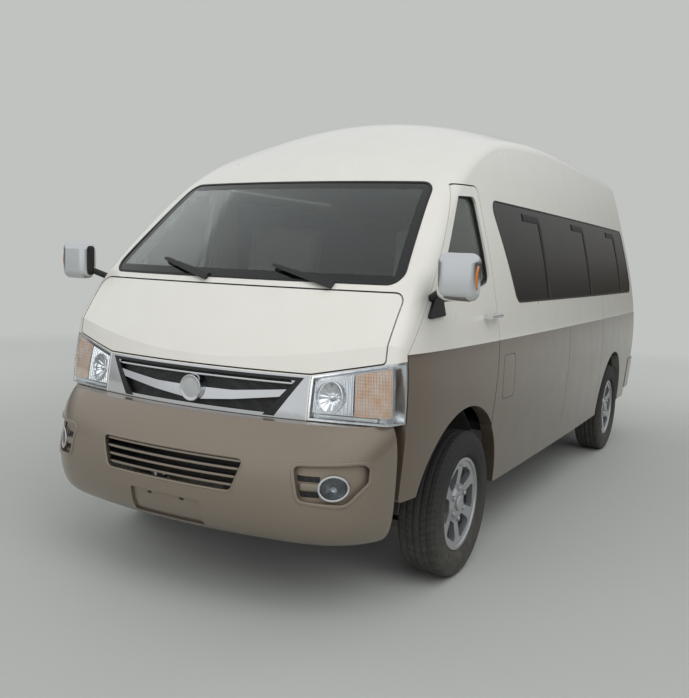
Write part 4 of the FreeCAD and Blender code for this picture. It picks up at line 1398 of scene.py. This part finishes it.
@dataclass
class NoseTrim:
    """Grille bar, badge, slat faces, lip of the lower opening, fog lamps and plate clips."""

    bar_half: float = 0.458
    bar_z: float = 0.907
    badge_z: float = 0.848
    badge_radius: tuple[float, ...] = (0.0545, 0.0545, 0.0535, 0.0515, 0.0495, 0.0470, 0.0350, 0.0200, 0.0050)
    badge_out: tuple[float, ...] = (-0.004, 0.002, 0.004, 0.0045, 0.0035, 0.0008, 0.0022, 0.0034, 0.0038)
    slats: int = 4
    slat_z: float = 0.5225
    slat_step: float = 0.032
    slat_reach: tuple[Pair, Pair] = ((0.50, 0.627), (0.312, 0.360))
    lip: tuple = (
        (0.366, 0.631, 0.018),
        (0.318, 0.497, 0.028),
        (-0.318, 0.497, 0.028),
        (-0.366, 0.631, 0.018),
    )
    clip_at: Pair = (0.083, 0.425)
    clip_half: Pair = (0.011, 0.007)
    fog_at: Pair = (0.702, 0.548)
    fog_case: float = 0.035
    fog_ring: float = 0.045
    fog_glass: float = 0.041
    fog_dome: Pair = (0.009, 0.043)
    fog_vane: Pair = (0.585, 0.655)
    fog_lift: float = 0.001
    fog_middle: float = 0.0015
    recess_y: Pair = (0.53, 0.83)
    recess_z: Pair = (0.45, 0.68)
    vane_y: Pair = (0.585, 0.64)
    vane_z: Pair = (0.515, 0.61)
    grille_face: tuple[Pair, Pair] = ((-0.52, 0.775), (0.52, 0.99))
    bumper_face: tuple[Pair, Pair] = ((-0.60, 0.40), (0.60, 0.70))
    bar_strip: Strip = Strip(0.009, 0.010, -0.008)
    slat_strip: Strip = Strip(0.010, 0.006, -0.014)
    lip_wire: Wire = Wire(0.006, -0.004)
    clip_lift: float = -0.009
    clip_thick: float = 0.004
    ring_strip: Strip = Strip(0.010, 0.014, 0.002)
    fog_lip_strip: Strip = Strip(0.016, 0.012, -0.003)
    vane_strip: Strip = Strip(0.030, 0.012, 0.004)
    fog_lip: tuple = (
        (0.556, 0.632, 0.020),
        (0.810, 0.645, 0.030),
        (0.810, 0.564, 0.040),
        (0.752, 0.480, 0.040),
        (0.588, 0.493, 0.030),
    )

    def build(self, frame: dict) -> None:
        """Lays each on the grille's or the bumper's surface.
        """
        chrome, enamel = "chromed_plastic", "champagne_enamel"
        grille = Panel(("grille_chrome", "bonnet"), View.FRONT, *self.grille_face).fit(frame)
        bumper = Panel(("front_bumper",), View.FRONT, *self.bumper_face).fit(frame)
        line = level(-self.bar_half, self.bar_half, self.bar_z, 60)
        grille.trim("grille_top_bar", chrome, line, self.bar_strip)
        put("bare_badge_disc", self.badge(), chrome)
        parts = []
        for z in self.slat_z + self.slat_step * np.arange(self.slats):
            reach = np.interp(z, *self.slat_reach)
            parts.append(bumper.bar(level(-reach, reach, z, 40), self.slat_strip))
        put("lower_grille_faces", merged(parts), enamel)
        bumper.trim("lower_grille_lip", enamel, rounded(self.lip), self.lip_wire, closed=True)
        for side in Side:
            self.fog(frame, side)
        parts = []
        middle, z = self.clip_at
        wide, tall = self.clip_half
        for y in (-middle, middle):
            spots = np.linspace(y - wide, y + wide, 5), np.linspace(z - tall, z + tall, 5)
            a, b = np.meshgrid(*spots, indexing="ij")
            parts.append(bumper.sheet(a, b, np.full(a.shape, self.clip_lift), self.clip_thick))
        put("plate_clips", merged(parts), "grained_black_plastic")

    def badge(self) -> Shape:
        """A plain dished disc with a raised rim, bare of any sign: rings of stated radius and stand-out.

        Returns:
            Points and faces.
        """
        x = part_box("grille_chrome")[1][0]
        angle = np.linspace(0, 2 * math.pi, 64, endpoint=False)
        radius, out = (np.array(v)[:, None] for v in (self.badge_radius, self.badge_out))
        across, up = radius * np.cos(angle), self.badge_z + radius * np.sin(angle)
        return capped(np.stack([np.broadcast_to(x + out, across.shape), across, up], axis=-1))

    def fog(self, frame: dict, side: Side) -> None:
        """Chromed ring, domed glass, a rolled lip round the recess and a broad vane beside the lamp.

        The glass rises with the root of one less the square of the distance from its middle.

        Args:
            side: the side that it is on.
        """
        s, word, enamel = side.value, side.word, "champagne_enamel"
        y, z = self.fog_at
        low, high = side.between(y - self.fog_case, y + self.fog_case)
        spots = (low, z - self.fog_case), (high, z + self.fog_case)
        face = Panel(("lamp_cases",), View.FRONT, *spots, power=2).fit(frame)
        round_it = circle((s * y, z), (self.fog_ring, self.fog_ring))
        face.trim(f"fog_ring_{word}", "chromed_plastic", round_it, self.ring_strip, closed=True)
        spots = zip(side.between(*self.recess_y), self.recess_z)
        bumper = Panel(("front_bumper",), View.FRONT, *spots).fit(frame)
        edge = rounded([(s * a, b, r) for a, b, r in self.fog_lip])
        bumper.trim(f"fog_lip_{word}", enamel, edge, self.fog_lip_strip, closed=True)
        turn = np.linspace(0, 2 * math.pi, 48, endpoint=False)
        r, t = np.meshgrid(np.linspace(self.fog_middle, self.fog_glass, 14), turn, indexing="ij")
        rise, edge_r = self.fog_dome
        lift = self.fog_lift + rise * np.sqrt(np.clip(1 - (r / edge_r) ** 2, 0, 1))
        glass, _ = face.lay(s * y + r * np.cos(t), z + r * np.sin(t), lift)
        put(f"fog_glass_{word}", capped(glass), "lamp_glass")
        spots = zip(side.between(*self.vane_y), self.vane_z)
        behind = Panel(("lower_grilles",), View.FRONT, *spots, power=1).fit(frame)
        start, end = self.fog_vane
        vane = level(s * start, s * end, z, 12)
        behind.trim(f"fog_vanes_{word}", enamel, vane, self.vane_strip)


@dataclass
class Seals:
    """Window seals, sliding window frames, door rubber and the rear window's trim."""

    screen: tuple = ((0.772, 1.302, 0.05), (0.677, 1.752, 0.06), (-0.677, 1.752, 0.06), (-0.772, 1.302, 0.05))
    door: tuple = (
        (1.966, 1.232, 0.025),
        (1.566, 1.696, 0.025),
        (1.366, 1.708, 0.04),
        (1.348, 1.318, 0.04),
        (1.7, 1.24, 0.12),
    )
    post: tuple = ((1.775, 1.238, 0), (1.775, 1.452, 0))
    strip: tuple = ((1.165, 1.708, 0.05), (0.985, 1.212, 0.06), (-2.19, 1.212, 0.07), (-2.14, 1.708, 0.07))
    tail: tuple = ((0.61, 1.25, 0.05), (0.53, 1.72, 0.06), (-0.53, 1.72, 0.06), (-0.61, 1.25, 0.05))
    frames_at: tuple[float, ...] = (0.40, -0.65, -1.75)
    slider: tuple = ((0.30, 1.654, 0), (0.0, 1.652, 0.03), (0.004, 1.225, 0))
    screen_face: tuple[Pair, Pair] = ((-0.78, 1.29), (0.78, 1.775))
    door_face: tuple[Pair, Pair] = ((1.34, 1.22), (1.98, 1.72))
    side_face: tuple[Pair, Pair] = ((-2.18, 1.215), (1.15, 1.705))
    tail_face: tuple[Pair, Pair] = ((-0.64, 1.23), (0.64, 1.74))
    screen_strip: Strip = Strip(0.014, 0.006, 0.0005)
    door_strip: Strip = Strip(0.016, 0.012, 0.005)
    post_strip: Strip = Strip(0.022, 0.008, 0.003)
    side_strip: Strip = Strip(0.009, 0.004, 0.0005)
    slider_strip: Strip = Strip(0.042, 0.005, 0.0012)
    tail_strip: Strip = Strip(0.014, 0.007, 0.001)

    def build(self, frame: dict) -> None:
        """Lays every seal on its panel.
        """
        rubber = "window_rubber"
        screen = Panel(("windscreen", "front_frame"), View.FRONT, *self.screen_face).fit(frame)
        screen.trim("windscreen_seal", rubber, rounded(self.screen), self.screen_strip, closed=True)
        for side, view in ((Side.LEFT, View.LEFT), (Side.RIGHT, View.RIGHT)):
            word, door = side.word, f"door_{side.word}"
            pane = Panel((f"door_glass_{word}",), view, *self.door_face, power=3).fit(frame)
            edge = rounded(self.door)
            pane.trim(f"door_seal_{word}", rubber, edge, self.door_strip, door, closed=True)
            post = rounded(self.post, closed=False)
            pane.trim(f"quarter_post_{word}", rubber, post, self.post_strip, door)
            strip = Panel(("side_glass",), view, *self.side_face).fit(frame)
            edge = rounded(self.strip, 0.02)
            strip.trim(f"strip_seal_{word}", rubber, edge, self.side_strip, closed=True)
            parts = []
            for x in self.frames_at:
                line = rounded([(x + dx, z, r) for dx, z, r in self.slider], closed=False)
                parts.append(strip.bar(line, self.slider_strip))
            put(f"slider_frames_{word}", merged(parts), rubber)
        back = Panel(("tailgate_glass", "tailgate"), View.BACK, *self.tail_face).fit(frame)
        edge = rounded(self.tail)
        back.trim("tail_window_seal", rubber, edge, self.tail_strip, "tailgate", closed=True)


@dataclass
class RearTrim:
    """Tailgate garnish, high brake lamp, rear wiper and the bumper's reflectors."""

    garnish_z: float = 0.935
    garnish_half: float = 0.30
    brake_z: float = 1.79
    brake_half: float = 0.13
    wiper_pivot: Pair = (0.0, 1.272)
    wiper_tip: Pair = (-0.40, 1.330)
    blade_from: Pair = (-0.52, 1.345)
    blade_to: Pair = (-0.12, 1.298)
    hub: float = 0.010
    reflector: Pair = (0.50, 0.66)
    reflector_z: float = 0.545
    gate_face: tuple[Pair, Pair] = ((-0.62, 0.70), (0.62, 1.86))
    brake_reach: Pair = (0.18, 0.02)
    bumper_y: Pair = (0.48, 0.68)
    bumper_z: Pair = (0.52, 0.57)
    garnish_strip: Strip = Strip(0.042, 0.024, 0.006)
    brake_strip: Strip = Strip(0.026, 0.016, 0.003)
    arm_strip: Strip = Strip(0.016, 0.010, 0.014)
    blade_strip: Strip = Strip(0.010, 0.014, 0.006)
    hub_wire: Wire = Wire(0.009, 0.008)
    reflector_strip: Strip = Strip(0.034, 0.008, 0.003)

    def build(self, frame: dict) -> None:
        """Lays each on the tailgate or the rear bumper.
        """
        gate = Panel(("tailgate", "tailgate_glass"), View.BACK, *self.gate_face).fit(frame)
        line = level(-self.garnish_half, self.garnish_half, self.garnish_z, 40)
        gate.trim("plate_garnish", "chromed_plastic", line, self.garnish_strip, "tailgate")
        wide, tall = self.brake_reach
        low, high = (-wide, self.brake_z - tall), (wide, self.brake_z + tall)
        above = Panel(("tailgate",), View.BACK, low, high, power=2).fit(frame)
        line = level(-self.brake_half, self.brake_half, self.brake_z, 24)
        above.trim("high_brake_lamp", "red_lens", line, self.brake_strip, "tailgate")
        arm = np.linspace(self.wiper_pivot, self.wiper_tip, 24)
        blade = np.linspace(self.blade_from, self.blade_to, 30)
        hub = circle(self.wiper_pivot, (self.hub, self.hub), 20)
        parts = [
            gate.bar(arm, self.arm_strip),
            gate.bar(blade, self.blade_strip),
            gate.bar(hub, self.hub_wire, closed=True),
        ]
        put("rear_wiper", merged(parts), "grained_black_plastic", "tailgate")
        parts = []
        for side in (Side.RIGHT, Side.LEFT):
            spots = zip(side.between(*self.bumper_y), self.bumper_z)
            bumper = Panel(("rear_bumper",), View.BACK, *spots, power=3).fit(frame)
            start, end = (side.value * y for y in self.reflector)
            line = level(start, end, self.reflector_z, 16)
            parts.append(bumper.bar(line, self.reflector_strip))
        put("bumper_reflectors", merged(parts), "red_lens")


@dataclass
class Mirrors:
    """Mirror glass and amber side lamp of both door mirrors."""

    x: float = 2.0492
    middle: Pair = (1.011, 1.344)
    half: Pair = (0.068, 0.075)
    share: tuple[float, ...] = (1.0, 1.0, 0.97, 0.8, 0.55, 0.3, 0.05)
    out: tuple[float, ...] = (0.003, 0.0, -0.001, -0.0022, -0.0033, -0.0038, -0.004)
    lamp_y: float = 1.0905
    lamp: tuple[Pair, ...] = ((2.108, 1.300), (2.114, 1.322), (2.116, 1.344), (2.114, 1.366), (2.108, 1.388))

    def build(self) -> None:
        """The glass is a superellipse domed by 3 mm; the lamp is a short bar on the cap's outer edge."""
        edge = squared(48)
        share, out = (np.array(v)[:, None] for v in (self.share, self.out))
        for side in Side:
            across = side.value * (self.middle[0] + share * edge[:, 0] * self.half[0])
            up = self.middle[1] + share * edge[:, 1] * self.half[1]
            glass = capped(np.stack([np.broadcast_to(self.x + out, across.shape), across, up], axis=-1))
            door = f"door_{side.word}"
            put(f"mirror_glass_{side.word}", glass, "mirror_silver", door)
            path = np.array([[x, side.value * self.lamp_y, z] for x, z in self.lamp])
            lamp = swept(path, np.array([0.0, side.value, 0.0]), flat_section(0.016, 0.009))
            put(f"mirror_lamp_{side.word}", lamp, "amber_lens", door)


@dataclass
class Dash:
    """Instrument hood, middle panel and air vents on the dashboard."""

    hood_at: tuple[float, float, float] = (1.812, 0.450, 1.268)
    hood_reach: float = 0.17
    hood_high: float = 0.050
    hood_sunk: float = 0.006
    hood_thick: float = 0.010
    plate_x: float = 1.7655
    plates: tuple = (
        (0.0, 1.19, 0.20, 0.09),
        (-0.22, 1.205, 0.11, 0.05),
        (0.70, 1.205, 0.09, 0.05),
        (-0.62, 1.205, 0.11, 0.05),
    )

    def build(self) -> None:
        """The hood is an arch that fades out forwards; the panel and vents are low rounded plates."""
        u, v = np.meshgrid(np.linspace(0, 1, 20), np.linspace(0, math.pi, 28), indexing="ij")
        x, y, z = self.hood_at
        high = z - self.hood_sunk + self.hood_high * (1 - u**2) * np.sin(v)
        outer = np.stack([x + self.hood_reach * u, y + self.hood_reach * np.cos(v), high], axis=-1)
        hood = plate(outer, outer - [0, 0, self.hood_thick])
        put("instrument_hood", hood, "soft_dash_plastic")
        parts = []
        for y, z, wide, tall in self.plates:
            line = np.linspace([self.plate_x, y - wide / 2, z], [self.plate_x, y + wide / 2, z], 3)
            parts.append(swept(line, np.array([-1.0, 0, 0]), flat_section(tall, 0.012)))
        put("dash_plates", merged(parts), "grained_black_plastic")


@dataclass
class SeatCovers:
    """Padded seats: each cushion and back is blown up as cloth from a smaller solid, with sewn channels."""

    voxel: float = 0.014
    shrink: float = 0.012
    pressure: float = 4.0
    steps: int = 20
    cap: float = 0.016
    channel_deep: float = 0.006
    channel_step: float = 0.105
    channel_half: float = 0.07
    panel_share: float = 0.72
    seam_at: float = 0.74
    seam_half: float = 0.03
    front_from_x: float = 0.95

    def pieces(self, frame: dict) -> list[Shape]:
        """Splits the seats' node into its loose solids.


        Returns:
            Points and faces of each solid.
        """
        shell = bmesh.new()
        shell.from_mesh(frame["nodes"]["seats"].data)
        bmesh.ops.remove_doubles(shell, verts=shell.verts, dist=1e-5)
        shell.verts.ensure_lookup_table()
        seen: set[int] = set()
        found = []
        for start in shell.verts:
            if start.index in seen:
                continue
            island, stack = [], [start]
            seen.add(start.index)
            while stack:
                vertex = stack.pop()
                island.append(vertex)
                for edge in vertex.link_edges:
                    other = edge.other_vert(vertex)
                    if other.index not in seen:
                        seen.add(other.index)
                        stack.append(other)
            numbers = {v.index: k for k, v in enumerate(island)}
            skin = sorted({f for v in island for f in v.link_faces}, key=lambda f: f.index)
            faces = [[numbers[v.index] for v in f.verts] for f in skin]
            found.append((np.array([v.co[:] for v in island]), faces))
        shell.free()
        return found

    def settled(self, piece: Piece) -> bpy.types.Mesh:
        """The piece's mesh with its modifiers applied, at the frame that the scene is at."""
        return bpy.data.meshes.new_from_object(piece.evaluated_get(bpy.context.evaluated_depsgraph_get()))

    def places(self, mesh: bpy.types.Mesh) -> np.ndarray:
        """The places of a mesh's points.

        Args:
            mesh: any mesh.

        Returns:
            n by 3 array.
        """
        flat = np.empty(len(mesh.vertices) * 3)
        mesh.vertices.foreach_get("co", flat)
        return flat.reshape(-1, 3)

    def blow(self, points: np.ndarray, faces: list) -> Shape:
        """Remeshes one solid, presses it out as cloth and returns its points, moved by the cap at most.

        Args:
            points: corners of the solid.
            faces: their numbers in each face.

        Returns:
            Points and faces of the pad.
        """
        low, high = points.min(axis=0), points.max(axis=0)
        middle, half = (low + high) / 2, (high - low) / 2
        pad = make_mesh("pad_being_blown", middle + (points - middle) * (1 - self.shrink / half), faces)
        remesh = pad.modifiers.new("even", "REMESH")
        remesh.mode = "VOXEL"
        remesh.voxel_size = self.voxel
        mesh = self.settled(pad)
        pad.modifiers.clear()
        pad.data = mesh
        rest = self.places(mesh)
        blown = rest
        cloth = pad.modifiers.new("air", "CLOTH")
        cloth.settings.use_pressure = True
        cloth.settings.uniform_pressure_force = self.pressure
        cloth.settings.effector_weights.gravity = 0.0
        for step in range(1, self.steps + 1):
            bpy.context.scene.frame_set(step)
        done = self.settled(pad)
        blown = self.places(done)
        bpy.data.meshes.remove(done)
        bpy.context.scene.frame_set(1)
        move = blown - rest
        length = np.linalg.norm(move, axis=1, keepdims=True)
        blown = rest + move * np.minimum(1, self.cap / np.maximum(length, 1e-9))
        skin = [list(p.vertices) for p in mesh.polygons]
        bpy.data.objects.remove(pad)
        return blown, skin

    def channelled(self, points: np.ndarray) -> np.ndarray:
        """Sinks sewn channels across the seat and a seam along each side of its middle panel.

        Both are bell curves in depth. The channels stop short of the sides.

        Args:
            points: places of the blown pad.

        Returns:
            The places after it.
        """
        low, high = points.min(axis=0), points.max(axis=0)
        middle, half = (low + high) / 2, (high - low) / 2
        axis = 0 if half[0] > half[2] else 2
        phase = ((points[:, axis] - low[axis]) / self.channel_step) % 1.0
        groove = np.exp(-(((phase - 0.5) / self.channel_half) ** 2))
        wide = np.abs(points[:, 1] - middle[1]) / half[1]
        inner = np.clip(1 - (wide / self.panel_share) ** 8, 0, 1)
        seam = np.exp(-(((wide - self.seam_at) / self.seam_half) ** 2))
        sink = self.channel_deep * np.maximum(groove * inner, seam)
        return points + unit(middle - points) * sink[:, None]

    def build(self, frame: dict) -> None:
        """Blows up one cushion and one back of each size and sets copies of them in every place.
        """
        done: dict[tuple, Shape] = {}
        groups: dict[str, list] = {"front_seat_covers": [], "rear_seat_covers": []}
        for points, faces in self.pieces(frame):
            corner = points.min(axis=0)
            size = tuple(np.round(points.max(axis=0) - corner, 3))
            if size not in done:
                blown, skin = self.blow(points, faces)
                done[size] = (self.channelled(blown) - corner, skin)
            local, skin = done[size]
            ahead = points[:, 0].mean() > self.front_from_x
            groups["front_seat_covers" if ahead else "rear_seat_covers"].append((local + corner, skin))
        for name, parts in groups.items():
            piece = put(name, merged(parts), "woven_seat_cloth")
            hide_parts("seats")


WHITE: Sequence[str] = ("#dedcd6", "#d6d4cd")
CHROME: Sequence[str] = ("#d9dadc", "#cfd0d3")
CLEAR: Sequence[str] = ("#dfe9e5", "#dce6e2")
RED: Sequence[str] = ("#8d1218", "#7a0d13")
ENAMEL: dict = {"bump_mm": 0.004, "grain_mm": 3.0}
PLATED: dict = {"metallic": 1.0, "bump_mm": 0.002}
SMOOTH: dict = {"bump_mm": 0.0005, "grain_mm": 40.0}
MOULDED: dict = {"coat": 1.0, "grain_mm": 4.0, "bump_mm": 0.2}
CHAMPAGNE: dict = {"split_z": 9.0, "lower": "#8f8376", "lower_shade": "#7f7467", "lined": False}
SETTLED: dict = {"dust": 0.6, "dust_top_z": 0.6}
ROAD: dict = {"dust_top_z": 0.5}
SCREEN_BORDER: dict = {
    "border_low": 1.335,
    "border_high": 1.722,
    "border_side": 1.011,
    "border_lean": -0.2111,
}


def make_finishes() -> None:
    """Makes every finish of the minibus once and keeps it by its plain name."""
    kinds = [
        # Enamel under a clear coat: an even pale gloss with soft reflections.
        BodyPaint("white_enamel", *WHITE, 0.30, coat=0.6, split_z=-1.0, **ENAMEL),
        # The same enamel in white over sprayed champagne flakes: clean above, a warm glitter below.
        BodyPaint("belt_enamel", *WHITE, 0.30, coat=0.6, dust=0.25, **ENAMEL),
        # Champagne flakes sprayed under a clear coat: warm, and deeper where it turns from the light.
        BodyPaint("champagne_enamel", *WHITE, 0.32, coat=0.5, dust=0.2, **ENAMEL, **CHAMPAGNE),
        # Chrome plate on plastic: a bright mirror, a little cloudy in patches.
        Finish("chromed_plastic", *CHROME, 0.09, **PLATED),
        # The same plate round the grille, narrow and bright beside a black margin.
        GrilleChrome("chromed_grille", *CHROME, 0.09, **PLATED),
        # The same plate on caps and handles, over a foot in moulded black.
        MirrorShell("chromed_mirror_shell", *CHROME, 0.08, **PLATED),
        # Silver behind glass: a clean, slightly dark mirror.
        Finish("mirror_silver", "#c6cacd", "#c2c6c9", 0.03, metallic=1.0, bump_mm=0.0005),
        # Moulded polypropylene with a leather grain: dull black that greys in the light.
        Finish("grained_black_plastic", "#1b1b1c", "#232324", 0.6, bump_mm=0.06, grain_mm=1.2),
        # Moulded mesh: dull webs, with painted shade in the holes between them.
        NoseMesh("moulded_black_mesh", "#1d1d1e", BLACK, 0.5, bump_mm=1.2),
        # Extruded rubber: a soft black line that takes little light.
        Finish("window_rubber", "#121213", "#19191a", 0.55, bump_mm=0.03, grain_mm=1.5),
        # Laminated glass: clear with a faint green, and a black border baked on.
        Glazing("windscreen_glass", *CLEAR, 0.02, **SMOOTH, **SCREEN_BORDER),
        # Toughened glass: clear with a faint green.
        Glazing("clear_safety_glass", *CLEAR, 0.02, **SMOOTH),
        # Glass dyed in the melt: nearly black, with the sky lying on it.
        Glazing("privacy_glass", "#1d1813", "#181410", 0.05, clear=0.4, specular=0.3, **SMOOTH),
        # Toughened glass with a grey film: the cabin shows through darkly.
        Glazing("door_glass", "#7b827a", "#747b73", 0.02, clear=0.85, **SMOOTH),
        # Moulded polycarbonate: clear, without the green of glass.
        Glazing("clear_lens", "#f4f6f7", "#eef1f2", 0.02, **SMOOTH),
        # Pressed lamp glass: clear with slow waves.
        Glazing("lamp_glass", "#d5dcdf", "#c6ced2", 0.04, bump_mm=0.2, grain_mm=9.0, clear=0.95),
        # Aluminium laid on plastic in a vacuum: a soft bright mirror.
        Finish("silvered_reflector", "#dcdde0", "#c9cbcf", 0.2, metallic=1.0),
        # Frosted plastic: pale and even under a gloss.
        Finish("frosted_light_plastic", "#e4e6e6", "#d5d8d9", 0.3, coat=0.6),
        # Moulded acrylic: clear that turns amber in patches, with ripples under a gloss.
        Finish("turn_lamp_lens", "#e8e2da", "#d98a20", 0.15, patch_mm=45.0, **MOULDED),
        # Moulded acrylic in amber: warm and glossy.
        Finish("amber_lens", "#c8741c", "#b36211", 0.15, **MOULDED),
        # Acrylic moulded in three colours: ribs that break up the light.
        TailLens("banded_tail_lens", *RED, 0.14, coat=1.0, bump_mm=0.5),
        # Moulded acrylic in red: deep and glossy.
        Finish("red_lens", *RED, 0.15, **MOULDED),
        # Brushed on chassis black: satin, with dust that settles on it.
        Finish("black_chassis_paint", "#202021", "#2a2826", 0.55, grain_mm=4.0, bump_mm=0.1, **SETTLED),
        # Metal as cast: grey, dull and pitted.
        Finish("cast_iron", "#6a6a6c", "#57575a", 0.65, metallic=0.7, grain_mm=2.5, bump_mm=0.3),
        # Moulded tyre rubber: dark and dull, with dust towards the road.
        Finish("tyre_rubber", "#1f1f20", "#2a2928", 0.8, grain_mm=1.5, bump_mm=0.08, dust=0.3, **ROAD),
        # Silver paint under a clear coat: a soft shine without a mirror.
        Finish("silver_wheel_paint", "#b4b5b8", "#a7a8ac", 0.32, metallic=0.75, coat=0.5, dust=0.15),
        # Turned steel: bright, with fine marks.
        Finish("machined_steel", "#9a9a9c", "#808083", 0.38, metallic=1.0, grain_mm=2.0, bump_mm=0.05),
        # Woven cloth: dull, with a pale rim of short fibres.
        Cloth("woven_seat_cloth", "#77716b", "#635e59", 0.9, bump_mm=0.8, patch_mm=90.0),
        # Foamed plastic with a moulded skin: dull grey with a fine grain.
        Finish("soft_dash_plastic", "#4a4a4b", "#424243", 0.65, grain_mm=1.6, bump_mm=0.1),
        # Rolled vinyl: dark, dull and a little uneven.
        Finish("floor_vinyl", "#3c3b3a", "#333231", 0.7, grain_mm=3.0, bump_mm=0.2),
        # Moulded rubber sheet: dull black that greys with dust.
        Finish("flap_rubber", "#1c1c1d", "#242425", 0.75, grain_mm=2.0, bump_mm=0.1, dust=0.4, **ROAD),
    ]
    for kind in kinds:
        MADE[kind.name] = kind.build()


def dress_nodes(frame: dict) -> None:
    """Gives every node of the loaded frame its own finish, or that of its slot in the record.
    """
    slots = {s["node"]: s["material_slot"] for s in frame["record"]["subparts"]}
    for name, piece in frame["nodes"].items():
        piece.data.materials.clear()
        piece.data.materials.append(MADE[NODE_FINISH.get(name, SLOT_FINISH[slots[name]])])


def main() -> None:
    """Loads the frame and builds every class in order."""
    logging.basicConfig(level=logging.INFO, format="%(name)s: %(message)s")
    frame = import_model()
    Studio().build()
    make_finishes()
    dress_nodes(frame)
    for corner in Corner:
        Tyre().build(corner)
        WheelTrim().build(corner)
    for side in Side:
        HeadLamp(side).build(frame)
    NoseTrim().build(frame)
    Seals().build(frame)
    RearTrim().build(frame)
    Mirrors().build()
    Dash().build()
    SeatCovers().build(frame)


if __name__ == "__main__":
    main()
